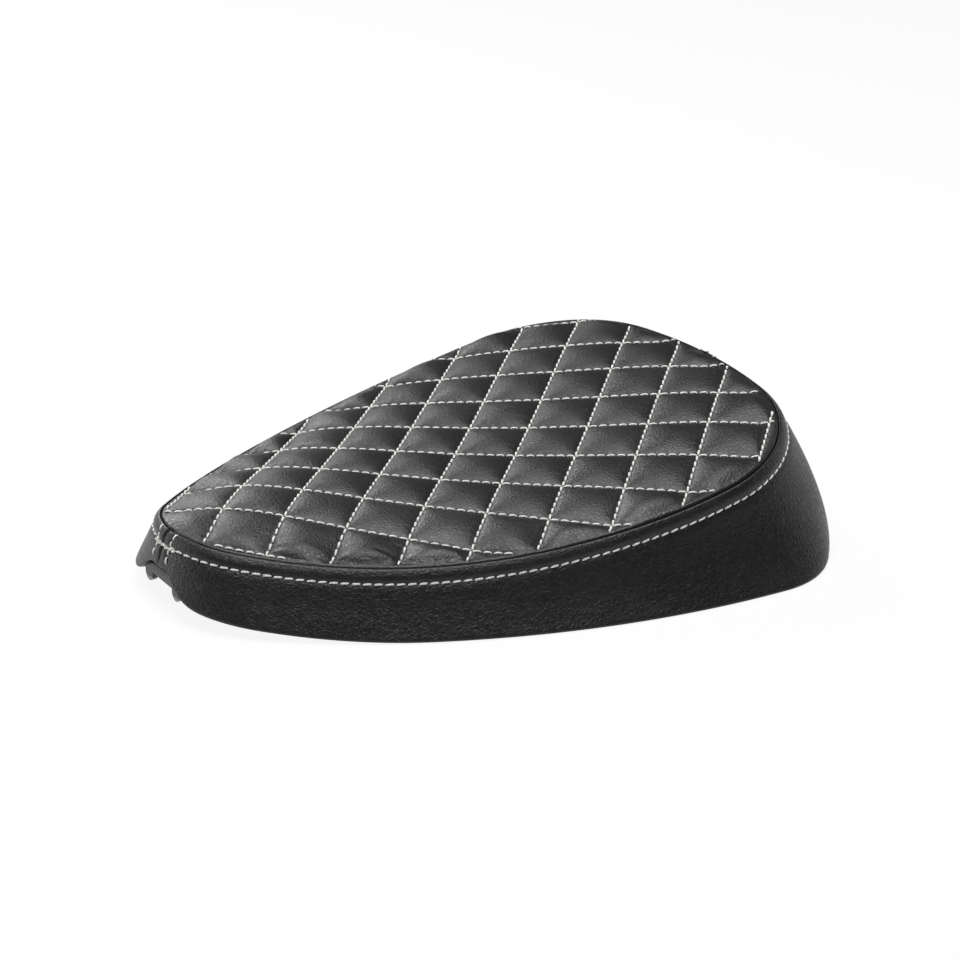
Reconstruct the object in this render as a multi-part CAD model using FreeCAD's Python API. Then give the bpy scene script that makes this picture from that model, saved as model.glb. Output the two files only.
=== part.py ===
"""Solo motorcycle seat: quilted top panel, sewn side skirts, foam, moulded pan and its mounting hardware.

+X points to the rear of the seat, +Y to the rider's right and +Z up. The seat is laid out from
the first crossing of the quilting near the nose and is moved at the end, so that the origin is
under the middle of the whole seat, on the plane of its hem.
"""
import FreeCAD
import Part
import math
import os

V = FreeCAD.Vector

# Quilting
QUILT_PITCH = 45.0          # diagonal of one square diamond, along and across the seat
QUILT_ROWS = 10             # sewn lines in each direction
CHANNEL_WIDTH = 10.0
CHANNEL_DEPTH = 2.6
CHANNEL_END_GAP = 5.0       # from the end of a channel to the seam

# Plan outline of the side wall: nose, rear, widest place, half width, nose radius, rear radius
BASE_OUTLINE = (0.0, 361.8, 285.0, 151.2, 85.0, 248.0)
MIDDLE_OUTLINE = (13.1, 355.5, 277.5, 130.3, 49.6, 352.0)
UPPER_OUTLINE = (30.8, 339.5, 252.0, 121.2, 22.5, 288.0)
MIDDLE_LEVEL = 35.0
UPPER_LEVEL = 70.0
PANEL_LEVEL = 45.0          # height of the outline that the crown follows

# Scooped top, along the centre line
SCOOP_X = 180.0
SCOOP_HEIGHT = 47.3
SCOOP_SLOPE = 0.0752
SCOOP_RADIUS = 503.0
SCOOP_EASE = 1.44e-6        # how much the rear flattens, per square millimetre
CROWN_X = 225.0
CROWN_DROP = 7.7            # fall from the crown to the seam at the widest place
NOSE_DROP = 18.9            # further fall at the nose
REAR_DROP = 4.9             # further fall at the rear
CROWN_POWER = 4.28
OUTER_FALL = 1.2            # slope of the crown past the seam, as a share of the drop

# Hem line under the nose
HEM_RISE = 9.1
HEM_RISE_LENGTH = 99.0

# Layers, from the outside in
VINYL = 1.4
PANEL_THICKNESS = 4.2
SEW_FOAM = 5.0
BACKING = 0.8
LAYER_GAP = 0.2
PANEL_STEP = 0.8            # how far the panel's edge sits inside the skirt at the seam
TAPE_THICKNESS = 0.8
TAPE_HEIGHT = 9.0
TAPE_WIDTH = 24.0
TAPE_NOTCH_GAP = 1.0
SOFT_GAP = 0.3              # room between foam and the hardware it lies over
FOAM_ROOM = 1.5             # room between foam and the notch

# Pan
FOAM_OVER_PAN = 20.0        # from the top surface to the deck of the pan
FOAM_AT_WALL = 9.0
PAN_WALL = 3.0
RIM_FLANGE = 3.0
HEM_TURN_UP = 12.0
RIB_THICKNESS = 3.0
RIB_DEPTH = 7.0
RIB_Y = 30.0
RIB_FRONT_X = 86.0
RIB_REAR_X = 258.0
CROSS_RIB_X = (88.0, 130.0, 172.0, 214.0, 256.0)
CROSS_RIB_HALF = 92.0
DRAIN_RADIUS = 4.0
DRAIN_X = (151.0, 193.0)

# Notch in the nose
NOTCH_HALF_WIDTH = 25.0
NOTCH_TOP = 21.5
NOTCH_SHOULDER_Y = 16.0
NOTCH_SHOULDER_Z = 18.6
NOTCH_SIDE_Z = 9.0
PAN_NOTCH_HALF_WIDTH = 30.0
PAN_NOTCH_TOP = 22.0
NOTCH_DEPTH = 24.0

# Front bracket
BRACKET_FRONT_X = 10.0
BRACKET_CORNER = 8.0
BRACKET_REAR_X = 82.0
BRACKET_HALF_WIDTH = 20.0
BRACKET_STEEL = 3.0
BRACKET_SEAT_Z = 19.0       # flat pad that the bracket bolts against
LIP_BOTTOM_Z = 13.0
EAR_Y = 15.0
EAR_WIDTH = 8.0
EAR_BOTTOM_Z = 7.5
BRACKET_SCREW_X = 38.0
BRACKET_SCREW_Y = 12.0
WELD_NUT_X = 66.0

# Rear plate
PLATE_X = 285.0
PLATE_LENGTH = 50.0
PLATE_WIDTH = 150.0
PLATE_STEEL = 3.0
PLATE_CORNER = 10.0
PLATE_SEAT_Z = 33.0
STUD_SPACING = 100.0
STUD_LENGTH = 24.0
PLATE_SCREW_X = 17.0
PLATE_SCREW_Y = 66.0
BOSS_RADIUS = 8.0

# Threads and fasteners, as radii
M8 = 4.0
M8_CORE = 3.4
M6 = 3.0
M5 = 2.5
SCREW_CLEARANCE = 0.25
THREAD_FIT = 0.05
WASHER_THICKNESS = 1.6
M6_WASHER = 6.0
M5_WASHER = 5.0
HEAD_RADIUS = 5.25
HEAD_HEIGHT = 3.3
SMALL_HEAD_RADIUS = 4.5
SMALL_HEAD_HEIGHT = 2.8
HEAD_ROUND = 0.45           # rounding of a head, and what its socket leaves, as a share of its height
SOCKET = 0.52               # half width of a hex socket, as a share of the head's radius
TIP_GAP = 0.5               # from a screw's tip to the end of its hole
TEE_FLANGE = 9.0
TEE_FLANGE_THICKNESS = 1.2
TEE_SINK = 0.4              # how deep a tee nut's flange is let into the deck
TEE_BARREL = 4.0
NUT_FLATS = 6.5             # half width of the weld nut across its flats
NUT_HEIGHT = 6.5
NUT_ROOM = 2.0              # room round the weld nut
INSERT_RADIUS = 3.6
INSERT_LENGTH = 5.5
STUD_SHOULDER = 4.4         # serrated shoulder pressed into the plate
STUD_HEAD = 7.0
STUD_HEAD_THICKNESS = 2.0
STUD_CHAMFER = 0.8

# Bumpers
BUMPERS = {"front_left": (104.0, -46.0), "front_right": (104.0, 46.0),
           "rear_left": (236.0, -78.0), "rear_right": (236.0, 78.0)}
BUMPER_RADIUS = 11.0
BUMPER_BOTTOM_Z = 4.0
BUMPER_SEAT_DROP = 4.0      # how far a bumper's boss reaches below the deck
BUMPER_TAPER = 1.5
BUMPER_EDGE = 1.5
BUMPER_WEB = 5.0            # rubber between the screw's washer and the boss
BUMPER_SCREW_BITE = 5.0

# Pads and bosses of the pan
PAD_MARGIN = 4.0
PAD_ROOM = 2.0

# Staples
STAPLE_PITCH = 32.0
STAPLE_CROWN = 10.0
STAPLE_WIRE = 0.7
STAPLE_WIDTH = 1.2
STAPLE_LEG = 3.0
STAPLE_HEIGHT = 8.0
STAPLE_FIT = 0.08
STAPLE_LIFT = 0.1           # gap under a staple's crown
STAPLE_OVERLAP = 0.2        # how far a leg reaches into its crown

# Limits of the cutting bodies, clear of the whole seat
REACH = 190.0
CUT_FRONT = -60.0
CUT_BACK = 460.0
CUT_LOW = -60.0
CUT_HIGH = 120.0
WALL_LOW = -6.0
WALL_HIGH = 82.0
PAN_HIGH = 66.0             # above the deck, where the drawn-in outline still has a nose
RIM_HIGH = 40.0             # above the rim and the hem


def blend(level):
    """Outline at a height: a parabola through the base, middle and upper outlines."""
    s = level / UPPER_LEVEL
    m = MIDDLE_LEVEL / UPPER_LEVEL
    base = (s - m) * (s - 1) / m
    middle = s * (s - 1) / (m * (m - 1))
    upper = s * (s - m) / (1 - m)
    return [base * b + middle * c + upper * u
            for b, c, u in zip(BASE_OUTLINE, MIDDLE_OUTLINE, UPPER_OUTLINE)]


def outline_arcs(level, inset):
    """Four tangent arcs of the right half, nose to rear: (centre x, centre y, radius) and the joints."""
    nose, rear, widest, half, nose_r, rear_r = blend(level)
    nose, rear, half = nose + inset, rear - inset, half - inset
    nose_r, rear_r = nose_r - inset, rear_r - inset
    ahead = widest - nose - nose_r
    side_r = (ahead**2 + half**2 - nose_r**2) / (2 * (half - nose_r))
    behind = rear - rear_r - widest
    corner_r = (behind**2 + half**2 - rear_r**2) / (2 * (half - rear_r))
    arcs = [(nose + nose_r, 0.0, nose_r), (widest, half - side_r, side_r),
            (widest, half - corner_r, corner_r), (rear - rear_r, 0.0, rear_r)]
    joints = [(nose, 0.0), along_centres(arcs[1], arcs[0]), (widest, half),
              along_centres(arcs[3], arcs[2]), (rear, 0.0)]
    return arcs, joints


def along_centres(large, small):
    """Point where a small arc touches a large one from inside."""
    dx, dy = small[0] - large[0], small[1] - large[1]
    k = large[2] / math.hypot(dx, dy)
    return (large[0] + dx * k, large[1] + dy * k)


def half_width(x, level, inset=0.0):
    """Half width of the outline at a place along the seat."""
    arcs, joints = outline_arcs(level, inset)
    x = min(max(x, joints[0][0]), joints[-1][0])
    for (cx, cy, r), end in zip(arcs, joints[1:]):
        if x <= end[0]:
            return cy + math.sqrt(max(r**2 - (x - cx)**2, 0.0))
    return 0.0


def outline_wire(level, inset):
    """Closed outline of seven arcs at a height."""
    arcs, joints = outline_arcs(level, inset)
    edges = []
    for side in (1, -1):
        pairs = list(zip(arcs, joints, joints[1:]))
        for (cx, cy, r), start, end in (pairs[1:3] if side > 0 else pairs[2:0:-1]):
            mx, my = (start[0] + end[0]) / 2 - cx, (start[1] + end[1]) / 2 - cy
            k = r / math.hypot(mx, my)
            middle = (cx + mx * k, cy + my * k)
            a, b = (start, end) if side > 0 else (end, start)
            edges.append(Part.Arc(*[V(p[0], side * p[1], level) for p in (a, middle, b)]).toShape())
        tip = joints[-1] if side > 0 else joints[0]
        joint = joints[3] if side > 0 else joints[1]
        edges.append(Part.Arc(V(joint[0], side * joint[1], level), V(tip[0], 0, level),
                              V(joint[0], -side * joint[1], level)).toShape())
    return Part.Wire(edges)


def wall_body(inset, top=WALL_HIGH, steps=6):
    """Solid inside the flared side wall, drawn in by an inset."""
    levels = [WALL_LOW + (top - WALL_LOW) * k / (steps - 1) for k in range(steps)]
    return Part.makeLoft([outline_wire(z, inset) for z in levels], True, False)


def reach_share(x, y):
    """How far out a point lies from the crown's middle, 1 at the panel's outline."""
    dx, dy = x - CROWN_X, abs(y)
    if math.hypot(dx, dy) < 1e-6:
        return 0.0
    low, high = 0.0, 40.0
    ends = outline_arcs(PANEL_LEVEL, 0.0)[1]
    for _ in range(40):
        k = (low + high) / 2
        px = CROWN_X + dx * k
        inside = ends[0][0] < px < ends[-1][0] and dy * k < half_width(px, PANEL_LEVEL)
        low, high = (k, high) if inside else (low, k)
    return 1 / low


def top_height(x, y):
    """Height of the top: a scooped centre line less a crown that falls away towards the seam."""
    from_middle = x - SCOOP_X
    centre = (SCOOP_HEIGHT + SCOOP_SLOPE * from_middle + from_middle**2 / (2 * SCOOP_RADIUS)
              - SCOOP_EASE * from_middle**3)
    nose, rear = outline_arcs(PANEL_LEVEL, 0.0)[1][0][0], outline_arcs(PANEL_LEVEL, 0.0)[1][-1][0]
    ahead = min(max((CROWN_X - x) / (CROWN_X - nose), 0.0), 1.2)
    behind = min(max((x - CROWN_X) / (rear - CROWN_X), 0.0), 1.2)
    drop = CROWN_DROP + NOSE_DROP * ahead**2 + REAR_DROP * behind**2
    share = reach_share(x, y)
    fall = share**CROWN_POWER if share < 1 else 1 + OUTER_FALL * (min(share, 1.3) - 1)
    return centre - drop * fall


def top_section(x, drop):
    """Cross-section under the top: a flat crown arc, two rolled shoulders, a skirt line and a floor."""
    edge = max(half_width(x, PANEL_LEVEL), 46.0)
    shoulder = 0.62 * edge
    spots = [0.0, shoulder, (shoulder + edge) / 2, edge]
    z = [top_height(x, y) - drop for y in spots]
    outer = z[3] - 0.2 * (REACH - edge)
    right = [V(x, y, h) for y, h in zip(spots, z)]
    left = [V(x, -y, h) for y, h in zip(spots, z)]
    corner = [V(x, REACH, outer), V(x, REACH, CUT_LOW), V(x, -REACH, CUT_LOW), V(x, -REACH, outer)]
    return Part.Wire([Part.Arc(left[1], right[0], right[1]).toShape(),
                      Part.Arc(right[1], right[2], right[3]).toShape(),
                      Part.LineSegment(right[3], corner[0]).toShape(),
                      Part.LineSegment(corner[0], corner[1]).toShape(),
                      Part.LineSegment(corner[1], corner[2]).toShape(),
                      Part.LineSegment(corner[2], corner[3]).toShape(),
                      Part.LineSegment(corner[3], left[3]).toShape(),
                      Part.Arc(left[3], left[2], left[1]).toShape()])


def top_stations():
    """Places of the cross-sections, closer together at the two ends."""
    ends = outline_arcs(PANEL_LEVEL, 0.0)[1]
    nose, rear = ends[0][0], ends[-1][0]
    first = [nose + k for k in (-34.0, -16.0, 2.0, 14.0, 30.0, 52.0)]
    last = [rear + k for k in (-52.0, -32.0, -16.0, -4.0, 10.0, 26.0)]
    count = 5
    inner = [first[-1] + (last[0] - first[-1]) * k / (count + 1) for k in range(1, count + 1)]
    return first + inner + last


def top_body(drop):
    """Everything below the top surface lowered by a drop."""
    return Part.makeLoft([top_section(x, drop) for x in top_stations()], True, False)


def hem_radius():
    """Radius of the arc that the hem line follows under the nose."""
    return (HEM_RISE_LENGTH**2 + HEM_RISE**2) / (2 * HEM_RISE)


def hem_height(x):
    """Height of the hem line under the nose."""
    ahead = max(HEM_RISE_LENGTH - x, 0.0)
    return hem_radius() - math.sqrt(hem_radius()**2 - ahead**2)


def above_hem(lift):
    """Everything above the hem line, which rises along an arc towards the nose."""
    radius = hem_radius()
    centre = V(HEM_RISE_LENGTH, -REACH, radius + lift)

    def on_arc(angle):
        return V(centre.x - radius * math.sin(angle), -REACH, centre.z - radius * math.cos(angle))

    end = math.asin((HEM_RISE_LENGTH + REACH) / radius)
    start, flat = on_arc(end), V(HEM_RISE_LENGTH, -REACH, lift)
    rear, high = CUT_BACK, CUT_HIGH
    edges = [Part.Arc(start, on_arc(end / 2), flat).toShape(),
             Part.LineSegment(flat, V(rear, -REACH, lift)).toShape(),
             Part.LineSegment(V(rear, -REACH, lift), V(rear, -REACH, high)).toShape(),
             Part.LineSegment(V(rear, -REACH, high), V(start.x, -REACH, high)).toShape(),
             Part.LineSegment(V(start.x, -REACH, high), start).toShape()]
    return Part.Face(Part.Wire(edges)).extrude(V(0, 2 * REACH, 0))


def box(x0, x1, y0, y1, z0, z1):
    """Box between two corners."""
    return Part.makeBox(x1 - x0, y1 - y0, z1 - z0, V(x0, y0, z0))


def rod(x, y, z0, z1, radius):
    """Upright cylinder."""
    return Part.makeCylinder(radius, z1 - z0, V(x, y, z0))


def both_sides(y):
    """The same distance on the right and on the left."""
    return (y, -y)


def nose_notch(half, top, shoulder_y, shoulder_z, side_z):
    """Arch through the nose: a crowned top, rounded shoulders and upright sides."""
    k = 1 / math.sqrt(2)
    bend = (shoulder_y + (half - shoulder_y) * k, side_z + (shoulder_z - side_z) * k)
    left = [(-half, -30.0), (-half, side_z), (-bend[0], bend[1]), (-shoulder_y, shoulder_z)]
    right = [(-y, z) for y, z in left]
    front = CUT_FRONT

    def at(p):
        return V(front, p[0], p[1])

    edges = [Part.LineSegment(at(left[0]), at(left[1])).toShape(),
             Part.Arc(at(left[1]), at(left[2]), at(left[3])).toShape(),
             Part.Arc(at(left[3]), at((0.0, top)), at(right[3])).toShape(),
             Part.Arc(at(right[3]), at(right[2]), at(right[1])).toShape(),
             Part.LineSegment(at(right[1]), at(right[0])).toShape(),
             Part.LineSegment(at(right[0]), at(left[0])).toShape()]
    return Part.Face(Part.Wire(edges)).extrude(V(NOTCH_DEPTH - front, 0, 0))


def channel(row, lengthwise):
    """Cutter for one sewn channel, whose round bottom follows the top and fades near the seam."""
    heading = -1.0 if lengthwise else 1.0
    middle = []
    for k in range(-40, 12 * 40):
        other = k / 40.0
        x = (row + other) * QUILT_PITCH / 2
        y = heading * (other - row) * QUILT_PITCH / 2
        ends = outline_arcs(PANEL_LEVEL, CHANNEL_END_GAP)[1]
        if ends[0][0] < x < ends[-1][0] and abs(y) < half_width(x, PANEL_LEVEL, CHANNEL_END_GAP):
            middle.append((x, y))
    if len(middle) < 12:
        return None
    count = max(4, int(math.dist(middle[0], middle[-1]) / 26) + 2)
    side = (-heading / math.sqrt(2), 1 / math.sqrt(2))
    wires = []
    for k in range(count):
        x, y = middle[round(k * (len(middle) - 1) / (count - 1))]
        depth = 0.5 if k in (0, count - 1) else CHANNEL_DEPTH
        half = CHANNEL_WIDTH / 2
        low = V(x, y, top_height(x, y) - depth)
        edge = [V(x + s * half * side[0], y + s * half * side[1], 0) for s in (-1, 1)]
        for p in edge:
            p.z = top_height(p.x, p.y) + 0.15
        high = [p + V(0, 0, 8) for p in edge]
        wires.append(Part.Wire([Part.Arc(edge[0], low, edge[1]).toShape(),
                                Part.LineSegment(edge[1], high[1]).toShape(),
                                Part.LineSegment(high[1], high[0]).toShape(),
                                Part.LineSegment(high[0], edge[0]).toShape()]))
    return Part.makeLoft(wires, True, False)


def quilting_cutters():
    """All the channels of the diamond quilting."""
    tools = [channel(row, way) for row in range(QUILT_ROWS + 1) for way in (True, False)]
    return [tool for tool in tools if tool is not None]


def quilted_panel(wall, outer, lower):
    """Vinyl top panel with its crown and sewn channels."""
    panel = wall.common(outer).cut(lower)
    for tool in quilting_cutters():
        panel = panel.cut(tool)
    return panel


def layer_depths():
    """Depths below the top of the panel, sew foam, cloth and core, from the outside in."""
    foam = PANEL_THICKNESS + LAYER_GAP
    cloth = foam + SEW_FOAM + LAYER_GAP
    return {"panel": PANEL_THICKNESS, "foam": foam, "under_foam": foam + SEW_FOAM, "cloth": cloth,
            "under_cloth": cloth + BACKING, "core": cloth + BACKING + LAYER_GAP}


def rim_inset():
    """Inset of the pan's rim, just inside the skirts."""
    return VINYL + LAYER_GAP


def core_inset():
    """Inset of what lies inside the seam tapes."""
    return rim_inset() + TAPE_THICKNESS + LAYER_GAP


def hem_inset():
    """Inset of the outer face of the hem that is turned up inside the pan."""
    return FOAM_AT_WALL + PAN_WALL + LAYER_GAP


def side(y0, y1, x0=CUT_FRONT, x1=CUT_BACK, z0=CUT_LOW):
    """Slice of space between two distances from the middle plane."""
    return box(x0, x1, y0, y1, z0, CUT_HIGH)


def under_quilting(depths):
    """Sew foam and the cloth that the quilting is sewn through."""
    core_wall = wall_body(core_inset())
    foam = core_wall.common(top_body(depths["foam"])).cut(top_body(depths["under_foam"]))
    cloth = core_wall.common(top_body(depths["cloth"])).cut(top_body(depths["under_cloth"]))
    return foam, cloth


def skirts(below_panel, slots):
    """Left and right skirts, turned under the rim of the pan and up inside it."""
    skin = wall_body(0.0).common(below_panel).common(above_hem(0.0))
    hollow = wall_body(VINYL).common(above_hem(VINYL))
    inner = wall_body(hem_inset() + VINYL, top=RIM_HIGH)
    turn_up = wall_body(hem_inset(), top=RIM_HIGH).cut(inner)
    turn_up = turn_up.common(above_hem(0.0)).cut(above_hem(HEM_TURN_UP))
    notch = nose_notch(NOTCH_HALF_WIDTH, NOTCH_TOP, NOTCH_SHOULDER_Y, NOTCH_SHOULDER_Z, NOTCH_SIDE_Z)
    whole = skin.cut(hollow).cut(inner).fuse(turn_up).cut(notch).cut(slots)
    gap = LAYER_GAP / 4
    return whole.common(side(-REACH, -gap)), whole.common(side(gap, REACH))


def seam_tapes(below_panel):
    """Tapes behind the sewn band, the nose seam and the rear seam."""
    inside = wall_body(rim_inset() + TAPE_THICKNESS)
    strip = wall_body(rim_inset()).common(below_panel).cut(inside).common(above_hem(rim_top()))
    half = TAPE_WIDTH / 2
    below_tape = top_body(layer_depths()["foam"] + TAPE_HEIGHT)
    band = strip.cut(below_tape).cut(side(-half - LAYER_GAP, half + LAYER_GAP))
    nose = strip.common(side(-half, half, x1=CROWN_X, z0=NOTCH_TOP + TAPE_NOTCH_GAP))
    rear = strip.common(side(-half, half, x0=CROWN_X))
    return band, nose, rear


def rim_top():
    """How far above the hem line the foam and the tapes start, just over the pan's rim."""
    return rim_inset() + RIM_FLANGE + LAYER_GAP


def foam_core(depths):
    """Moulded foam over the pan, arched over the notch, with pockets for what stands up from the deck."""
    pan_skin = wall_body(FOAM_AT_WALL - LAYER_GAP, top=PAN_HIGH).common(top_body(FOAM_OVER_PAN - LAYER_GAP))
    notch = nose_notch(NOTCH_HALF_WIDTH + FOAM_ROOM, NOTCH_TOP + FOAM_ROOM, NOTCH_SHOULDER_Y,
                       NOTCH_SHOULDER_Z + FOAM_ROOM, NOTCH_SIDE_Z)
    core = wall_body(core_inset()).common(top_body(depths["core"])).common(above_hem(rim_top()))
    core = core.cut(pan_skin).cut(notch)
    pockets = []
    for x, y in bracket_screw_spots():
        seat = tee_seat(x, y)
        pockets.append(rod(x, y, seat - 1, seat + TEE_FLANGE_THICKNESS + SOFT_GAP, TEE_FLANGE + SOFT_GAP))
    nut_top = BRACKET_SEAT_Z + NUT_HEIGHT + TIP_GAP
    pockets.append(rod(WELD_NUT_X, 0, BRACKET_SEAT_Z - BRACKET_STEEL, nut_top, NUT_FLATS + NUT_ROOM))
    return core.cut(pockets[0].multiFuse(pockets[1:]))


def seat_pan(staples):
    """Moulded pan: a deck that follows the scoop, a rim flange, ribs, pads, bosses and holes."""
    deck, under_deck = top_body(FOAM_OVER_PAN), top_body(FOAM_OVER_PAN + PAN_WALL)
    outer = wall_body(FOAM_AT_WALL, top=PAN_HIGH).common(deck)
    inside = wall_body(FOAM_AT_WALL + PAN_WALL, top=PAN_HIGH)
    hollow = inside.common(under_deck)
    flange = wall_body(rim_inset(), top=RIM_HIGH).cut(inside).cut(above_hem(rim_inset() + RIM_FLANGE))
    solid = outer.cut(hollow).fuse(flange).common(above_hem(rim_inset()))
    ribs = rib_grid().common(hollow).cut(top_body(FOAM_OVER_PAN + PAN_WALL + RIB_DEPTH))
    notch = box(CUT_FRONT, NOTCH_DEPTH, -PAN_NOTCH_HALF_WIDTH, PAN_NOTCH_HALF_WIDTH, CUT_LOW, PAN_NOTCH_TOP)
    solid = solid.fuse(ribs).fuse(pad_blocks().common(outer))
    return solid.cut(pad_clearance()).cut(notch).cut(pan_holes()).cut(staples)


def rib_grid():
    """Two long ribs and the cross ribs between them, before they are trimmed to the deck."""
    half, low = RIB_THICKNESS / 2, HEM_TURN_UP + 1.0
    bars = [box(RIB_FRONT_X, RIB_REAR_X, y - half, y + half, low, CUT_HIGH) for y in both_sides(RIB_Y)]
    bars += [box(x - half, x + half, -CROSS_RIB_HALF, CROSS_RIB_HALF, low, CUT_HIGH) for x in CROSS_RIB_X]
    return bars[0].multiFuse(bars[1:])


def pad_blocks():
    """Flat pad for the bracket and the bosses for the rear plate and the bumpers."""
    half = BRACKET_HALF_WIDTH + PAD_MARGIN
    blocks = [box(NOTCH_DEPTH, BRACKET_REAR_X + PAD_MARGIN, -half, half, BRACKET_SEAT_Z, CUT_HIGH)]
    blocks += [rod(x, y, PLATE_SEAT_Z, CUT_HIGH, BOSS_RADIUS) for x, y in plate_screw_spots()]
    blocks += [rod(x, y, PLATE_SEAT_Z, CUT_HIGH, STUD_HEAD + PAD_MARGIN) for x, y in stud_spots()]
    for x, y in BUMPERS.values():
        blocks.append(rod(x, y, bumper_seat(x, y), CUT_HIGH, BUMPER_RADIUS + BUMPER_TAPER))
    return blocks[0].multiFuse(blocks[1:])


def pad_clearance():
    """Room under the bracket pad and under the rear plate's bosses."""
    bracket = box(BRACKET_FRONT_X - PAD_ROOM, BRACKET_REAR_X + PAD_ROOM, -BRACKET_HALF_WIDTH - PAD_ROOM,
                  BRACKET_HALF_WIDTH + PAD_ROOM, PAD_ROOM, BRACKET_SEAT_Z)
    half_x, half_y = PLATE_LENGTH / 2 + PAD_ROOM, PLATE_WIDTH / 2 + PAD_ROOM
    return bracket.fuse(box(PLATE_X - half_x, PLATE_X + half_x, -half_y, half_y, HEM_TURN_UP, PLATE_SEAT_Z))


def plate_screw_spots():
    """Places of the four screws of the rear plate."""
    return [(PLATE_X + dx, y) for dx in both_sides(PLATE_SCREW_X) for y in both_sides(PLATE_SCREW_Y)]


def stud_spots():
    """Places of the two studs."""
    return [(PLATE_X, y) for y in both_sides(STUD_SPACING / 2)]


def bracket_screw_spots():
    """Places of the two screws of the front bracket."""
    return [(BRACKET_SCREW_X, y) for y in both_sides(BRACKET_SCREW_Y)]


def bumper_seat(x, y):
    """Height of the boss that a bumper sits against."""
    return top_height(x, y) - FOAM_OVER_PAN - PAN_WALL - BUMPER_SEAT_DROP


def pan_holes():
    """Holes for tee nuts, the weld nut, inserts, stud heads, bumper screws and drains."""
    holes = []
    for x, y in bracket_screw_spots():
        holes.append(rod(x, y, 0, CUT_HIGH, TEE_BARREL + SCREW_CLEARANCE))
        holes.append(rod(x, y, tee_seat(x, y), CUT_HIGH, TEE_FLANGE + SCREW_CLEARANCE))
    holes.append(rod(WELD_NUT_X, 0, 0, CUT_HIGH, NUT_FLATS + NUT_ROOM))
    for x, y in plate_screw_spots():
        holes.append(rod(x, y, PLATE_SEAT_Z - 1, PLATE_SEAT_Z + INSERT_LENGTH, INSERT_RADIUS))
    for x, y in stud_spots():
        holes.append(rod(x, y, PLATE_SEAT_Z - 1, PLATE_SEAT_Z + STUD_HEAD_THICKNESS + THREAD_FIT,
                         STUD_HEAD + SCREW_CLEARANCE))
    for x, y in BUMPERS.values():
        holes.append(rod(x, y, 0, bumper_seat(x, y) + BUMPER_SCREW_BITE, M5 - THREAD_FIT))
    holes += [rod(x, y, 0, CUT_HIGH, DRAIN_RADIUS) for x in DRAIN_X for y in both_sides(RIB_Y / 2)]
    return holes[0].multiFuse(holes[1:])


def tee_seat(x, y):
    """Height at which a tee nut's flange is let into the deck."""
    return top_height(x, y) - FOAM_OVER_PAN - TEE_FLANGE_THICKNESS - TEE_SINK


def tee_nut(x, y):
    """Tee nut: a flange on the deck and a threaded barrel down to the bracket pad."""
    z = tee_seat(x, y)
    barrel = rod(x, y, BRACKET_SEAT_Z + TIP_GAP, z, TEE_BARREL)
    body = rod(x, y, z, z + TEE_FLANGE_THICKNESS, TEE_FLANGE).fuse(barrel)
    return body.cut(rod(x, y, 0, CUT_HIGH, M6 + THREAD_FIT))


def screw(x, y, under_head, tip, radius, head_radius, head_height):
    """Round-headed screw driven upwards, with a hex socket in its head."""
    low = under_head - head_height
    head = rod(x, y, low, under_head, head_radius)
    head = head.makeFillet(HEAD_ROUND * head_height, [head.Edges[2]])
    socket = hexagon(x, y, low - 1, under_head - HEAD_ROUND * head_height, SOCKET * head_radius)
    return head.cut(socket).fuse(rod(x, y, under_head, tip, radius))


def hexagon(x, y, z0, z1, flats):
    """Upright hexagonal bar, measured to its flats."""
    corner = flats / math.cos(math.pi / 6)
    turns = [k * math.pi / 3 for k in range(7)]
    points = [V(x + corner * math.cos(a), y + corner * math.sin(a), z0) for a in turns]
    return Part.Face(Part.makePolygon(points)).extrude(V(0, 0, z1 - z0))


def washer(x, y, top, hole, radius):
    """Flat washer below a face."""
    low = top - WASHER_THICKNESS
    return rod(x, y, low, top, radius).cut(rod(x, y, low - 1, top + 1, hole))


def front_bracket():
    """Pressed steel bracket: a flat leg under the pan and a front lip with two rounded ears."""
    top = BRACKET_SEAT_Z
    low = top - BRACKET_STEEL
    back_of_lip = BRACKET_FRONT_X + BRACKET_STEEL
    half = BRACKET_HALF_WIDTH
    leg = box(BRACKET_FRONT_X, BRACKET_REAR_X, -half, half, low, top)
    rear_corners = [e for e in leg.Edges if e.CenterOfMass.x > BRACKET_REAR_X - 0.1
                    and abs(e.CenterOfMass.z - (low + top) / 2) < 0.1]
    leg = leg.makeFillet(BRACKET_CORNER, rear_corners)
    body = leg.fuse(box(BRACKET_FRONT_X, back_of_lip, -half, half, LIP_BOTTOM_Z, top))
    round_z = EAR_BOTTOM_Z + EAR_WIDTH / 2
    for y in both_sides(EAR_Y):
        left, right = y - EAR_WIDTH / 2, y + EAR_WIDTH / 2
        ear = box(BRACKET_FRONT_X, back_of_lip, left, right, round_z, LIP_BOTTOM_Z + 1)
        tip = Part.makeCylinder(EAR_WIDTH / 2, BRACKET_STEEL, V(BRACKET_FRONT_X, y, round_z), V(1, 0, 0))
        body = body.fuse(ear).fuse(tip)
    body = body.removeSplitter()
    bend = [e for e in body.Edges if abs(e.CenterOfMass.x - BRACKET_FRONT_X) < 0.1
            and abs(e.CenterOfMass.z - top) < 0.1 and e.Length > half]
    body = body.makeFillet(BRACKET_STEEL * 0.9, bend)
    for x, y in bracket_screw_spots():
        body = body.cut(rod(x, y, 0, CUT_HIGH, M6 + SCREW_CLEARANCE))
    return body.cut(rod(WELD_NUT_X, 0, 0, CUT_HIGH, M8_CORE))


def weld_nut():
    """Nut welded on the bracket for the bolt that holds the nose of the seat."""
    nut = hexagon(WELD_NUT_X, 0, BRACKET_SEAT_Z, BRACKET_SEAT_Z + NUT_HEIGHT, NUT_FLATS)
    return nut.cut(rod(WELD_NUT_X, 0, 0, CUT_HIGH, M8_CORE))


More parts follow.
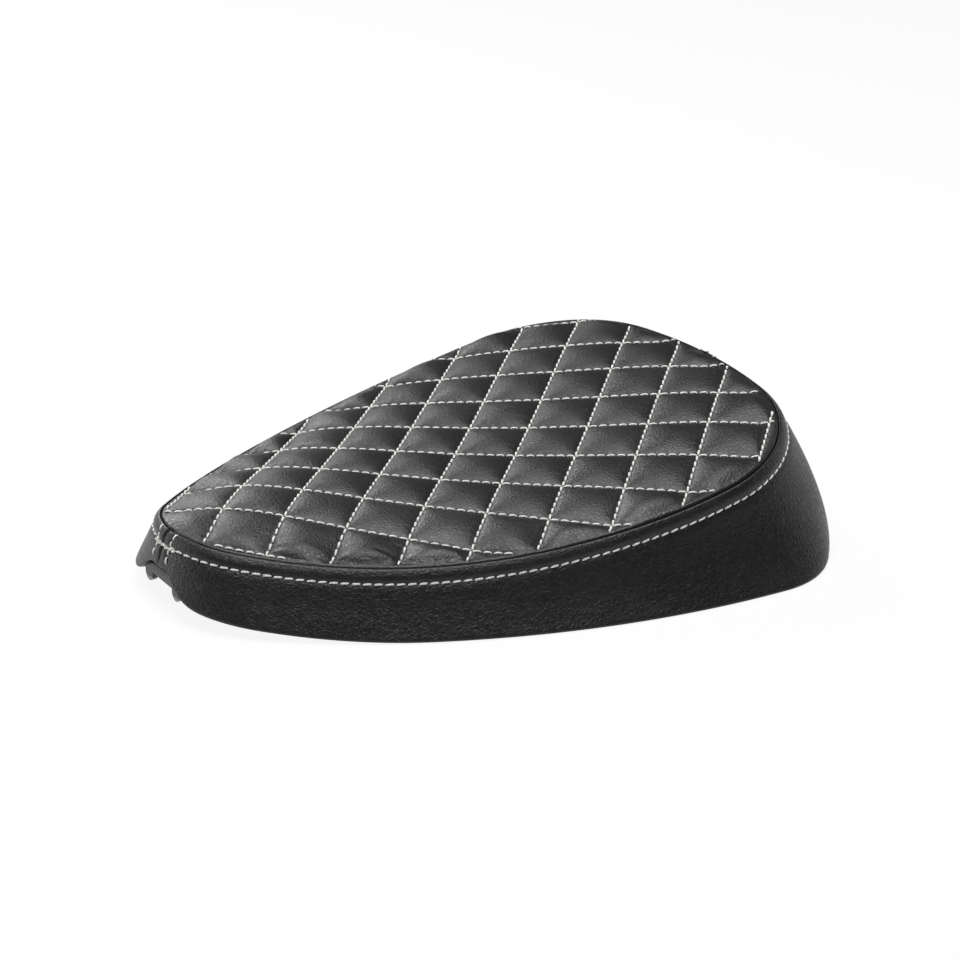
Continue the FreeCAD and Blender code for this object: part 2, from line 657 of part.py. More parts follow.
def bracket_fasteners():
    """Washers, screws and tee nuts of the front bracket."""
    spots = bracket_screw_spots()
    under = BRACKET_SEAT_Z - BRACKET_STEEL
    washers = [washer(x, y, under, M6 + SCREW_CLEARANCE, M6_WASHER) for x, y in spots]
    screws = []
    for x, y in spots:
        tip = tee_seat(x, y) + TEE_FLANGE_THICKNESS - TEE_SINK
        screws.append(screw(x, y, under - WASHER_THICKNESS, tip, M6, HEAD_RADIUS, HEAD_HEIGHT))
    return washers, screws, [tee_nut(x, y) for x, y in spots]


def rear_plate():
    """Steel plate that spreads the load of the two studs."""
    low = PLATE_SEAT_Z - PLATE_STEEL
    half_x, half_y = PLATE_LENGTH / 2, PLATE_WIDTH / 2
    body = box(PLATE_X - half_x, PLATE_X + half_x, -half_y, half_y, low, PLATE_SEAT_Z)
    upright = [e for e in body.Edges if abs(e.CenterOfMass.z - low - PLATE_STEEL / 2) < 0.1]
    body = body.makeFillet(PLATE_CORNER, upright)
    for x, y in plate_screw_spots():
        body = body.cut(rod(x, y, 0, CUT_HIGH, M5 + SCREW_CLEARANCE))
    for x, y in stud_spots():
        body = body.cut(rod(x, y, 0, CUT_HIGH, STUD_SHOULDER + THREAD_FIT))
    return body


def stud(x, y):
    """Stud with its head let into a boss of the pan and its shoulder pressed into the plate."""
    seat, under = PLATE_SEAT_Z, PLATE_SEAT_Z - PLATE_STEEL
    shank = rod(x, y, under - STUD_LENGTH, under, M8)
    shank = shank.makeChamfer(STUD_CHAMFER, [min(shank.Edges, key=lambda e: e.CenterOfMass.z)])
    head = rod(x, y, seat, seat + STUD_HEAD_THICKNESS, STUD_HEAD)
    return head.fuse(rod(x, y, under, seat, STUD_SHOULDER)).fuse(shank)


def plate_fasteners():
    """Inserts, washers and screws of the rear plate."""
    spots = plate_screw_spots()
    under = PLATE_SEAT_Z - PLATE_STEEL
    tip = PLATE_SEAT_Z + INSERT_LENGTH - TIP_GAP
    inserts = [insert(x, y) for x, y in spots]
    washers = [washer(x, y, under, M5 + SCREW_CLEARANCE, M5_WASHER) for x, y in spots]
    screws = [screw(x, y, under - WASHER_THICKNESS, tip, M5, SMALL_HEAD_RADIUS, SMALL_HEAD_HEIGHT)
              for x, y in spots]
    return inserts, washers, screws


def insert(x, y):
    """Threaded brass insert moulded into a boss."""
    z = PLATE_SEAT_Z
    return rod(x, y, z, z + INSERT_LENGTH, INSERT_RADIUS).cut(rod(x, y, 0, CUT_HIGH, M5 + THREAD_FIT))


def bumper(x, y):
    """Rubber bumper: a tapered pad with a recess for its screw."""
    top = bumper_seat(x, y)
    foot = V(x, y, BUMPER_BOTTOM_Z)
    pad = Part.makeCone(BUMPER_RADIUS - BUMPER_TAPER, BUMPER_RADIUS, top - BUMPER_BOTTOM_Z, foot)
    pad = pad.makeFillet(BUMPER_EDGE, [min(pad.Edges, key=lambda e: e.CenterOfMass.z)])
    recess = rod(x, y, BUMPER_BOTTOM_Z - 1, top - BUMPER_WEB, HEAD_RADIUS + TIP_GAP)
    return pad.cut(recess).cut(rod(x, y, 0, top + 1, M5 + SCREW_CLEARANCE))


def bumper_fasteners():
    """Washers and screws in the bumpers' recesses."""
    washers, screws = [], []
    for x, y in BUMPERS.values():
        seat = bumper_seat(x, y)
        under = seat - BUMPER_WEB
        tip = seat + BUMPER_SCREW_BITE - TIP_GAP
        washers.append(washer(x, y, under, M5 + SCREW_CLEARANCE, M5_WASHER))
        screws.append(screw(x, y, under - WASHER_THICKNESS, tip, M5 - 2 * THREAD_FIT, SMALL_HEAD_RADIUS,
                            SMALL_HEAD_HEIGHT))
    return washers, screws


def staple_frames():
    """Place and outward direction of each staple on the inner face of the turned-up hem."""
    frames = []
    for side_sign in (1, -1):
        arcs, joints = outline_arcs(STAPLE_HEIGHT, hem_inset() + VINYL)
        for (cx, cy, r), start, end in zip(arcs, joints, joints[1:]):
            a0, a1 = [math.atan2(p[1] - cy, p[0] - cx) for p in (start, end)]
            a0 = a0 + 2 * math.pi if a0 < a1 else a0
            count = max(1, round(r * (a0 - a1) / STAPLE_PITCH))
            for k in range(count):
                a = a0 + (a1 - a0) * (k + 0.5) / count
                x, y = cx + r * math.cos(a), side_sign * (cy + r * math.sin(a))
                if x > NOTCH_DEPTH + STAPLE_CROWN or abs(y) > PAN_NOTCH_HALF_WIDTH + STAPLE_CROWN / 2:
                    frames.append((x, y, V(math.cos(a), side_sign * math.sin(a), 0)))
    return frames


def staple(x, y, outward, grow):
    """Staple across the hem, its legs pointing outwards into the pan."""
    inset = hem_inset() + VINYL
    z = STAPLE_HEIGHT + hem_height(x)
    step = 2.0
    lean = (half_width(CROWN_X, z + step, inset) - half_width(CROWN_X, z - step, inset)) / (2 * step)
    shift = half_width(CROWN_X, z, inset) - half_width(CROWN_X, STAPLE_HEIGHT, inset)
    up = V(outward.x * lean, outward.y * lean, 1).normalize()
    along = V(0, 0, 1).cross(outward).normalize()
    normal = along.cross(up).normalize()
    if normal.dot(outward) < 0:
        normal = normal * -1
    thick, wide = STAPLE_WIRE + 2 * grow, STAPLE_WIDTH + 2 * grow
    crown = Part.makeBox(STAPLE_CROWN + 2 * grow, wide, thick,
                         V(-STAPLE_CROWN / 2 - grow, -wide / 2, -STAPLE_WIRE - STAPLE_LIFT - grow))
    reach = VINYL + LAYER_GAP + STAPLE_LEG / 2 + STAPLE_OVERLAP
    spread = (STAPLE_CROWN - STAPLE_WIRE) / 2
    legs = [Part.makeBox(thick, wide, reach, V(place - thick / 2, -wide / 2, -STAPLE_OVERLAP))
            for place in both_sides(spread)]
    frame = FreeCAD.Matrix(along.x, up.x, normal.x, x + outward.x * shift,
                           along.y, up.y, normal.y, y + outward.y * shift,
                           along.z, up.z, normal.z, z, 0, 0, 0, 1)
    return crown.multiFuse(legs).transformGeometry(frame)


def soft_parts(slots):
    """Cover, seam tapes and foam."""
    depths = layer_depths()
    below_panel = top_body(depths["foam"])
    panel = quilted_panel(wall_body(PANEL_STEP), top_body(0.0), top_body(depths["panel"]))
    parts = {"quilted_panel": panel}
    parts["panel_sew_foam"], parts["panel_backing_cloth"] = under_quilting(depths)
    parts["side_skirt_left"], parts["side_skirt_right"] = skirts(below_panel, slots)
    names = ("band_seam_tape", "nose_seam_tape", "rear_seam_tape")
    parts.update(zip(names, seam_tapes(below_panel)))
    parts["foam_core"] = foam_core(depths)
    return parts


def hard_parts(slots, frames):
    """Pan, staples, the two mountings, bumpers and their fasteners."""
    group = Part.makeCompound
    parts = {"seat_pan": seat_pan(slots)}
    parts["cover_staples"] = group([staple(x, y, out, 0.0) for x, y, out in frames])
    parts["front_bracket"], parts["bracket_weld_nut"] = front_bracket(), weld_nut()
    names = ("bracket_washers", "bracket_screws", "bracket_tee_nuts")
    parts.update((name, group(solids)) for name, solids in zip(names, bracket_fasteners()))
    parts["rear_mount_plate"] = rear_plate()
    parts["rear_studs"] = group([stud(x, y) for x, y in stud_spots()])
    names = ("plate_inserts", "plate_washers", "plate_screws")
    parts.update((name, group(solids)) for name, solids in zip(names, plate_fasteners()))
    parts.update(("bumper_" + name, bumper(x, y)) for name, (x, y) in BUMPERS.items())
    names = ("bumper_washers", "bumper_screws")
    parts.update((name, group(solids)) for name, solids in zip(names, bumper_fasteners()))
    return parts


def main():
    """Builds every part, moves the seat to its origin and writes one file for each part."""
    os.makedirs("parts", exist_ok=True)
    frames = staple_frames()
    slots = Part.makeCompound([staple(x, y, out, STAPLE_FIT) for x, y, out in frames])
    parts = {**soft_parts(slots), **hard_parts(slots, frames)}
    spans = [parts[name].optimalBoundingBox() for name in ("side_skirt_left", "side_skirt_right")]
    middle = (min(b.XMin for b in spans) + max(b.XMax for b in spans)) / 2
    floor = min(b.ZMin for b in spans)
    print("seat moved by", round(-middle, 4), round(-floor, 4))
    for name, shape in parts.items():
        shape.translate(V(-middle, 0, -floor))
        shape.exportStep("parts/" + name + ".step")
        b = shape.optimalBoundingBox()
        state = (name, len(shape.Solids), shape.isValid(), shape.Volume)
        print("%-20s solids %d valid %s volume %.1f" % state,
              "x %.1f..%.1f y %.1f..%.1f z %.1f..%.1f" % (b.XMin, b.XMax, b.YMin, b.YMax, b.ZMin, b.ZMax))


main()
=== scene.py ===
# %% [markdown]
# # A quilted solo motorcycle seat
# On the real seat, a moulded pan carries foam, and a sewn cover of black vinyl is pulled over both and
# stapled under the rim. The frame that is loaded here already holds the hard pieces: pan, brackets,
# studs, bumpers and staples. What is left is the look of the soft parts. They could be sculpted by hand,
# but the seat is a regular thing with a few driving sizes, so its surfaces are worked out as formulas.

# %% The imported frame
import bpy
import math
import numpy as np
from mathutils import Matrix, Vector


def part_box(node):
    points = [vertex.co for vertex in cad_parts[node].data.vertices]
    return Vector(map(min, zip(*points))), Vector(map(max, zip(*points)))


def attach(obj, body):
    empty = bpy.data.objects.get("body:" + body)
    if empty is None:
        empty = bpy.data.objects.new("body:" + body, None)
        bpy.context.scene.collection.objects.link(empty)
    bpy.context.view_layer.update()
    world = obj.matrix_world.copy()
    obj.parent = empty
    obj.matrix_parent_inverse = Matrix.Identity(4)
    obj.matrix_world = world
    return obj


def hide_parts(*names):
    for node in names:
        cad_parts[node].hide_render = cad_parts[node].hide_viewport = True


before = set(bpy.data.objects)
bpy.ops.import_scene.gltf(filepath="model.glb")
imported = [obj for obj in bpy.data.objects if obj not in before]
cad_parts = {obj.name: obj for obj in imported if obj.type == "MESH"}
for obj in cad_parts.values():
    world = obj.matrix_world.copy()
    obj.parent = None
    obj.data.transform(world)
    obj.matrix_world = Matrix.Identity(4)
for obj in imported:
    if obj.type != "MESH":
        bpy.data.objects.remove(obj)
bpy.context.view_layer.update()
print("hard and soft nodes in the frame:", len(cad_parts))

# %% [markdown]
# ## The sizes that drive the cover
# A pattern cutter would write down the diamond, the plan outline at three heights and the line of the
# scooped top. The same few sizes are named here, in millimetres, counted from the first crossing of the
# quilting near the nose. The frame says where that crossing lies, because its rear plate is a known
# distance behind it.

# %% Sizes in millimetres
MM = 0.001
PLATE_X = 285.0
QUILT_PITCH = 45.0              # diagonal of one square diamond
FIRST_ROW, LAST_ROW = -3, 11    # numbers of the sewn lines that can cross the panel
DIAMOND_SIDE = QUILT_PITCH / math.sqrt(2)
# nose, rear, widest place, half width, nose radius, rear radius of the side wall at three levels
OUTLINES = ((0.0, 361.8, 285.0, 151.2, 85.0, 248.0),
            (13.1, 355.5, 277.5, 130.3, 49.6, 352.0),
            (30.8, 339.5, 252.0, 121.2, 22.5, 288.0))
MIDDLE_LEVEL, UPPER_LEVEL, PANEL_LEVEL = 35.0, 70.0, 45.0
SCOOP_X, SCOOP_HEIGHT, SCOOP_SLOPE, SCOOP_RADIUS, SCOOP_EASE = 180.0, 47.3, 0.0752, 503.0, 1.44e-6
CROWN_X, CROWN_DROP, NOSE_DROP, REAR_DROP, CROWN_POWER = 225.0, 7.7, 18.9, 4.9, 4.28
OUTER_FALL = 1.2
HEM_RISE, HEM_RISE_LENGTH = 9.1, 99.0
NOTCH_TOP, NOTCH_HALF = 21.5, 20.0
VINYL = 1.4
FLANGE, TURN_UP = 13.6, 12.0    # how far the hem goes inwards under the rim, and up inside it
TOPSTITCH = 8.3                 # from the seam down to the topstitching

plate_low, plate_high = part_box("rear_mount_plate")
ORIGIN_X = PLATE_X - (plate_low.x + plate_high.x) / 2 / MM
print("the first crossing lies", round(ORIGIN_X, 2), "mm ahead of the frame's origin")

# %% [markdown]
# ## The side wall as one formula
# The wall flares outwards towards the hem. At every level its plan outline is four arcs that run into
# each other, mirrored for the other side. A parabola through three known outlines gives the levels in
# between. Written like this, any point of the wall is two numbers: how far round, and how high.

# %% Outline of the side wall
def outline_values(level):
    """The six outline sizes at a level: for each size, the parabola through its three known values."""
    s, m = np.asarray(level, float) / UPPER_LEVEL, MIDDLE_LEVEL / UPPER_LEVEL
    weights = ((s - m) * (s - 1) / m, s * (s - 1) / (m * (m - 1)), s * (s - m) / (1 - m))
    return [sum(w * outline[k] for w, outline in zip(weights, OUTLINES)) for k in range(6)]


def outline_arcs(level, inset):
    """Centres, radii and end angles of the four arcs of one half, nose to rear, drawn in by an inset.
    Two arcs that touch from inside share one angle, the direction from one centre to the other."""
    nose, rear, widest, half, nose_r, rear_r = outline_values(level)
    nose, rear = nose + inset, rear - inset
    half, nose_r, rear_r = half - inset, nose_r - inset, rear_r - inset
    ahead, behind = widest - nose - nose_r, rear - rear_r - widest
    side_r = (ahead**2 + half**2 - nose_r**2) / (2 * (half - nose_r))
    corner_r = (behind**2 + half**2 - rear_r**2) / (2 * (half - rear_r))
    front_turn, rear_turn = np.arctan2(side_r - half, -ahead), np.arctan2(half - corner_r, -behind)
    quarter = np.full_like(front_turn, math.pi / 2)
    return [(nose + nose_r, 0 * nose, nose_r, quarter * 2, front_turn),
            (widest, half - side_r, side_r, front_turn, quarter),
            (widest, half - corner_r, corner_r, quarter, rear_turn),
            (rear - rear_r, 0 * rear, rear_r, rear_turn, quarter * 0)]


ARC_LENGTHS = [float(r * abs(a1 - a0)) for _, _, r, a0, a1 in outline_arcs(np.array(PANEL_LEVEL), 0.0)]
ARC_SHARES = np.concatenate([[0], np.cumsum(ARC_LENGTHS)]) / sum(ARC_LENGTHS)


def wall_point(u, level, inset=0.0):
    """Plan point and outward direction of the wall. u runs from 0 at the nose, round the right side, to
    0.5 at the rear and back to 1: on arc k the angle moves evenly from its first to its last value."""
    u, level, inset = np.broadcast_arrays(u, level, inset)
    side = np.where(u <= 0.5, 1.0, -1.0)
    s = np.clip(2 * np.minimum(u, 1 - u), 0, 1)
    x, y, nx, ny = (np.zeros(s.shape) for _ in range(4))
    for k, (cx, cy, r, a0, a1) in enumerate(outline_arcs(level, inset)):
        on = (s >= ARC_SHARES[k]) & (s <= ARC_SHARES[k + 1])
        angle = a0 + (a1 - a0) * (s - ARC_SHARES[k]) / (ARC_SHARES[k + 1] - ARC_SHARES[k])
        x, y = np.where(on, cx + r * np.cos(angle), x), np.where(on, cy + r * np.sin(angle), y)
        nx, ny = np.where(on, np.cos(angle), nx), np.where(on, np.sin(angle), ny)
    return x, side * y, nx, side * ny


print("half the panel's outline is", round(sum(ARC_LENGTHS), 1), "mm long")

# %% [markdown]
# ## The scooped and crowned top
# Seen from the side, the seat dips behind the nose and rises to the back, where it holds the rider. Seen
# from the front, it is flat in the middle and falls away at the rim. So the height is a centre line that
# depends on x alone, less a drop that grows with a high power of how near the point is to the rim.

# %% Height of the top
ROUND = np.linspace(0, 1, 2401)
rim_x, rim_y, _, _ = wall_point(ROUND[:1201], PANEL_LEVEL)
CROWN_ANGLES = np.arctan2(rim_y, rim_x - CROWN_X)[::-1]
CROWN_REACH = np.hypot(rim_x - CROWN_X, rim_y)[::-1]
NOSE_X, REAR_X = rim_x[0], rim_x[-1]


def top_height(x, y):
    """Scooped centre line less a crown: drop(x) times share to the power 4.28, where share is the distance
    from the crown's middle over the outline's reach in that direction; past the rim it falls on evenly."""
    m = x - SCOOP_X
    centre = SCOOP_HEIGHT + SCOOP_SLOPE * m + m**2 / (2 * SCOOP_RADIUS) - SCOOP_EASE * m**3
    ahead = np.clip((CROWN_X - x) / (CROWN_X - NOSE_X), 0, 1.2)
    behind = np.clip((x - CROWN_X) / (REAR_X - CROWN_X), 0, 1.2)
    reach = np.interp(np.arctan2(np.abs(y), x - CROWN_X), CROWN_ANGLES, CROWN_REACH)
    share = np.hypot(x - CROWN_X, y) / reach
    outside = 1 + OUTER_FALL * (np.minimum(share, 1.3) - 1)
    fall = np.where(share < 1, np.minimum(share, 1)**CROWN_POWER, outside)
    return centre - (CROWN_DROP + NOSE_DROP * ahead**2 + REAR_DROP * behind**2) * fall


def seam_level(u, inset=0.0):
    """Height at which the wall meets the top: the level moves halfway to the top's height there, again and
    again."""
    level = np.full(np.shape(u), PANEL_LEVEL)
    for _ in range(30):
        x, y, _, _ = wall_point(u, level, inset)
        level = (level + top_height(x, y)) / 2
    return level


SEAM_Z = seam_level(ROUND)
print("the seam runs from", round(SEAM_Z.min(), 1), "to", round(SEAM_Z.max(), 1), "mm above the hem")

# %% [markdown]
# ## Turning arrays into pieces
# Every new piece is a grid of points. The helpers below join a grid with quads, turn the faces outwards
# and hand the arrays to the mesh in one go, which is far quicker than adding faces one by one. The object
# stays at the origin, so that patterns on Object coordinates keep their place.

# %% Helpers for meshes
def to_metres(points):
    """Seat millimetres to metres in the frame: the origin's x is taken off and the rest is scaled."""
    return (np.asarray(points, float) - [ORIGIN_X, 0, 0]) * MM


def grid_faces(rows, columns, ring=False):
    """Quads of a grid whose points run row by row; a ring joins the last column to the first."""
    r, c = np.meshgrid(np.arange(rows - 1), np.arange(columns if ring else columns - 1), indexing="ij")
    here, right = r * columns + c, r * columns + (c + 1) % columns
    return np.stack([here, right, right + columns, here + columns], -1).reshape(-1, 4)


def facing(points, faces, middle):
    """The same faces, turned so that they look away from a middle point on the whole."""
    a, b, c = (points[faces[:, k]] for k in range(3))
    normal = np.cross(b - a, c - b)
    return faces if np.sum(normal * (a - middle)) > 0 else faces[:, ::-1]


def make_piece(name, points, faces, material, uv=None):
    """Mesh from points in seat millimetres and a list of face arrays; uv has two numbers for each point."""
    mesh = bpy.data.meshes.new(name)
    sizes = np.concatenate([np.full(len(f), f.shape[1]) for f in faces])
    corners = np.concatenate([f.reshape(-1) for f in faces]).astype(np.int32)
    mesh.vertices.add(len(points))
    mesh.vertices.foreach_set("co", to_metres(points).astype(np.float32).reshape(-1))
    mesh.loops.add(len(corners))
    mesh.loops.foreach_set("vertex_index", corners)
    mesh.polygons.add(len(sizes))
    mesh.polygons.foreach_set("loop_start", np.concatenate([[0], np.cumsum(sizes)[:-1]]).astype(np.int32))
    mesh.update(calc_edges=True)
    mesh.polygons.foreach_set("use_smooth", np.ones(len(sizes), bool))
    if uv is not None:
        mesh.uv_layers.new(name="UVMap").data.foreach_set("uv", uv[corners].astype(np.float32).reshape(-1))
    mesh.materials.append(material)
    piece = bpy.data.objects.new(name, mesh)
    bpy.context.scene.collection.objects.link(piece)
    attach(piece, "root")
    print(name, "has", len(points), "points and", len(sizes), "faces")
    return piece


# %% [markdown]
# ## Camera
# The photograph looks down on the seat from its left, nose towards the viewer, through a long lens. The
# place and lens were worked out from the crossings of the quilting, which form a known square lattice.

# %% Camera
CAMERA_AZIMUTH, CAMERA_ELEVATION = math.radians(-31.489), math.radians(22.776)
CAMERA_DISTANCE, CAMERA_LENS = 1.49703, 106.87
CAMERA_TARGET = Vector((0.01062, 0.0, 0.02643))
back = Vector((math.sin(CAMERA_AZIMUTH) * math.cos(CAMERA_ELEVATION),
               -math.cos(CAMERA_AZIMUTH) * math.cos(CAMERA_ELEVATION), math.sin(CAMERA_ELEVATION)))
lens = bpy.data.cameras.new("camera")
lens.lens, lens.sensor_width, lens.clip_start = CAMERA_LENS, 36.0, 0.05
camera = bpy.data.objects.new("camera", lens)
camera.location = CAMERA_TARGET + back * CAMERA_DISTANCE
camera.rotation_euler = (-back).to_track_quat("-Z", "Y").to_euler()
bpy.context.scene.collection.objects.link(camera)
bpy.context.scene.camera = camera
bpy.context.scene.view_settings.view_transform = "Standard"
print("camera at", [round(c, 3) for c in camera.location])

# %% [markdown]
# ## Finishes
# A finish is more than a colour. Vinyl has an embossed grain of pebbles with fine creases, moulded
# plastic a fine spark texture, steel a coat with scuffs and chips. What several finishes share
# is a node group: it takes places and sizes and gives back a height or a mask. The shader itself stays in
# each material, and what is the same all over is set on the shader's own sockets.

# %% Node helpers
def add(tree, kind, inputs=None, **settings):
    """Adds a node, applies its settings and fills its inputs: a socket is linked, a value is set."""
    new = tree.nodes.new(kind)
    for key, value in settings.items():
        setattr(new, key, value)
    for key, value in (inputs or {}).items():
        if isinstance(value, bpy.types.NodeSocket):
            tree.links.new(value, new.inputs[key])
        else:
            new.inputs[key].default_value = value
    return new


def math_node(tree, operation, a, b=0.0):
    """Result of one sum, product or other step."""
    return add(tree, "ShaderNodeMath", {0: a, 1: b}, operation=operation).outputs[0]


def ramp(tree, value, low, high, to_low=0.0, to_high=1.0):
    """Smooth step: to_low below low, to_high above high."""
    inputs = {"Value": value, "From Min": low, "From Max": high, "To Min": to_low, "To Max": to_high}
    return add(tree, "ShaderNodeMapRange", inputs, interpolation_type="SMOOTHSTEP").outputs["Result"]


def noise(tree, vector, scale, detail=2.0):
    """Cloudy values round 0.5."""
    inputs = {"Vector": vector, "Scale": scale, "Detail": detail}
    return add(tree, "ShaderNodeTexNoise", inputs).outputs["Fac"]


def new_group(name, inputs, outputs):
    """Empty node group with named sockets: inputs as (name, kind, value), outputs as (name, kind)."""
    group = bpy.data.node_groups.new(name, "ShaderNodeTree")
    for label, kind, value in inputs:
        socket = group.interface.new_socket(label, in_out="INPUT", socket_type="NodeSocket" + kind)
        if kind == "Float":
            socket.default_value = value
    for label, kind in outputs:
        group.interface.new_socket(label, in_out="OUTPUT", socket_type="NodeSocket" + kind)
    return group, add(group, "NodeGroupInput").outputs, add(group, "NodeGroupOutput").inputs


def use(tree, group, inputs):
    """Places a group in a material and returns its outputs."""
    return add(tree, "ShaderNodeGroup", inputs, node_tree=group).outputs


# %% Shared effects
def grain_group():
    """Embossed vinyl: soft pebbles between thin creases, bent by noise, with finer pores on top.
    Height is the relief from 0 to 1, Crease is 1 in the creases."""
    group, given, result = new_group("vinyl grain", [("Vector", "Vector", None), ("Cells", "Float", 480.0),
                                                     ("Fold", "Float", 0.5)],
                                     [("Height", "Float"), ("Crease", "Float")])
    bend = add(group, "ShaderNodeTexNoise", {"Vector": given["Vector"], "Scale": 190.0, "Detail": 3.0})
    shift = add(group, "ShaderNodeVectorMath", {0: bend.outputs["Color"], 1: (0.5, 0.5, 0.5)},
                operation="SUBTRACT").outputs[0]
    push = add(group, "ShaderNodeVectorMath", {0: shift, "Scale": 0.0042}, operation="SCALE").outputs[0]
    place = add(group, "ShaderNodeVectorMath", {0: given["Vector"], 1: push}, operation="ADD").outputs[0]
    cell = add(group, "ShaderNodeTexVoronoi", {"Vector": place, "Scale": given["Cells"]},
               feature="DISTANCE_TO_EDGE").outputs["Distance"]
    finer = math_node(group, "MULTIPLY", given["Cells"], 2.3)
    pore = add(group, "ShaderNodeTexVoronoi", {"Vector": place, "Scale": finer},
               feature="DISTANCE_TO_EDGE").outputs["Distance"]
    pebble = ramp(group, cell, 0.0, 0.32)
    fine = ramp(group, pore, 0.0, 0.25)
    fold = math_node(group, "MULTIPLY", noise(group, place, 95.0, 4.0), given["Fold"])
    height = math_node(group, "ADD", math_node(group, "MULTIPLY", pebble, 0.7),
                       math_node(group, "MULTIPLY", fine, 0.3))
    group.links.new(math_node(group, "ADD", height, fold), result["Height"])
    group.links.new(math_node(group, "SUBTRACT", 1.0, pebble), result["Crease"])
    return group


def wear_group():
    """Scuffs and chips in a coat: where fine noise rises over its upper third, Mask is 1."""
    group, given, result = new_group("coat wear", [("Vector", "Vector", None), ("Amount", "Float", 0.5),
                                                   ("Scale", "Float", 300.0)], [("Mask", "Float")])
    worn = ramp(group, noise(group, given["Vector"], given["Scale"], 5.0), 0.62, 0.70)
    group.links.new(math_node(group, "MULTIPLY", worn, given["Amount"]), result["Mask"])
    return group


def dust_group():
    """Fine dust that settles on faces that look up: the normal's z, times cloudy noise."""
    group, given, result = new_group("dust", [("Vector", "Vector", None), ("Amount", "Float", 0.1)],
                                     [("Mask", "Float")])
    normal = add(group, "ShaderNodeNewGeometry").outputs["Normal"]
    up = add(group, "ShaderNodeSeparateXYZ", {0: normal}).outputs[2]
    cloud = ramp(group, noise(group, given["Vector"], 26.0, 6.0), 0.42, 0.72)
    settled = math_node(group, "MULTIPLY", ramp(group, up, 0.2, 0.95), cloud)
    group.links.new(math_node(group, "MULTIPLY", settled, given["Amount"]), result["Mask"])
    return group


GRAIN, WEAR, DUST = grain_group(), wear_group(), dust_group()
print("node groups:", [g.name for g in (GRAIN, WEAR, DUST)])

# %% Bare material and its last steps
def bare_material(name, **shader):
    """Material with a Principled shader whose named sockets are set, and its Object coordinates."""
    material = bpy.data.materials.new(name)
    material.use_nodes = True
    tree = material.node_tree
    tree.nodes.clear()
    inputs = {key.replace("_", " "): value for key, value in shader.items()}
    body = add(tree, "ShaderNodeBsdfPrincipled", inputs)
    output = add(tree, "ShaderNodeOutputMaterial")
    tree.links.new(body.outputs["BSDF"], output.inputs["Surface"])
    place = add(tree, "ShaderNodeTexCoord").outputs["Object"]
    return material, tree, body, place


def mix_colour(tree, mask, first, second):
    """First colour where the mask is 0, second where it is 1."""
    inputs = {"Factor": mask}
    for socket, colour in ((6, first), (7, second)):
        inputs[socket] = colour if isinstance(colour, bpy.types.NodeSocket) else (*colour, 1.0)
    return add(tree, "ShaderNodeMix", inputs, data_type="RGBA").outputs[2]


def times(share, colour):
    """A colour made darker or paler: each of its three values times a share."""
    return tuple(share * c for c in colour)


def bump(tree, body, height, distance, strength=1.0):
    """Relief of a given height in metres, fed to the shader's normal."""
    node = add(tree, "ShaderNodeBump", {"Height": height, "Distance": distance, "Strength": strength})
    tree.links.new(node.outputs["Normal"], body.inputs["Normal"])


# %% Vinyl, thread, foam and cloth
def vinyl(name, cells, depth, rough, colour, fold):
    """Black vinyl: painted shade in the creases, slightly paler rubbed pebbles, and a sheen that varies in
    patches.
    """
    material, tree, body, place = bare_material(name, IOR=1.5, Specular_IOR_Level=0.5)
    grain = use(tree, GRAIN, {"Vector": place, "Cells": cells, "Fold": fold})
    dust = use(tree, DUST, {"Vector": place, "Amount": 0.035})["Mask"]
    patch = noise(tree, place, 22.0, 3.0)
    worn = mix_colour(tree, ramp(tree, patch, 0.35, 0.7), colour, times(1.35, colour))
    # Painted shade: the grain's creases are darkened towards 0.35 of the vinyl's colour.
    crease_shade = math_node(tree, "MULTIPLY", grain["Crease"], 0.6)
    dark = mix_colour(tree, crease_shade, worn, times(0.35, colour))
    tree.links.new(mix_colour(tree, dust, dark, (0.30, 0.29, 0.28)), body.inputs["Base Color"])
    rubbed = math_node(tree, "MULTIPLY", ramp(tree, patch, 0.3, 0.75), 0.08)
    rougher = math_node(tree, "MULTIPLY", grain["Crease"], 0.14)
    total = math_node(tree, "ADD", math_node(tree, "SUBTRACT", rough, rubbed), rougher)
    tree.links.new(total, body.inputs["Roughness"])
    bump(tree, body, grain["Height"], depth)
    return material


def thread_material(name, colour):
    """Three-ply sewing thread: slanted lines of painted shade between the plies, from the piece's own UV,
    and a sheen for its fuzz."""
    material, tree, body, _ = bare_material(name, Roughness=0.62, Sheen_Weight=0.25,
                                            Specular_IOR_Level=0.35)
    uv = add(tree, "ShaderNodeUVMap", uv_map="UVMap").outputs[0]
    split = add(tree, "ShaderNodeSeparateXYZ", {0: uv}).outputs
    lengthwise = math_node(tree, "MULTIPLY", split[0], 3.4)
    turn = math_node(tree, "ADD", lengthwise, math_node(tree, "MULTIPLY", split[1], 3.0))
    ply = math_node(tree, "ABSOLUTE", math_node(tree, "SINE", math_node(tree, "MULTIPLY", turn, math.pi)))
    # Painted shade: the grooves between the plies are darkened to 0.45 of the thread's colour.
    shade = ramp(tree, ply, 0.0, 0.6)
    tree.links.new(mix_colour(tree, shade, times(0.45, colour), colour), body.inputs["Base Color"])
    bump(tree, body, ply, 0.00012)
    return material


def foam_material():
    """Moulded foam: a skin with open cells and a yellowed tint in patches."""
    material, tree, body, place = bare_material("moulded foam", Roughness=0.95, Specular_IOR_Level=0.2)
    cells = add(tree, "ShaderNodeTexVoronoi", {"Vector": place, "Scale": 900.0}).outputs["Distance"]
    patch = ramp(tree, noise(tree, place, 30.0, 4.0), 0.35, 0.7)
    yellowed = mix_colour(tree, patch, (0.30, 0.29, 0.25), (0.42, 0.37, 0.27))
    tree.links.new(yellowed, body.inputs["Base Color"])
    bump(tree, body, cells, 0.0006)
    return material


WEAVE = 5200.0                  # the weave's waves, in radians over a metre


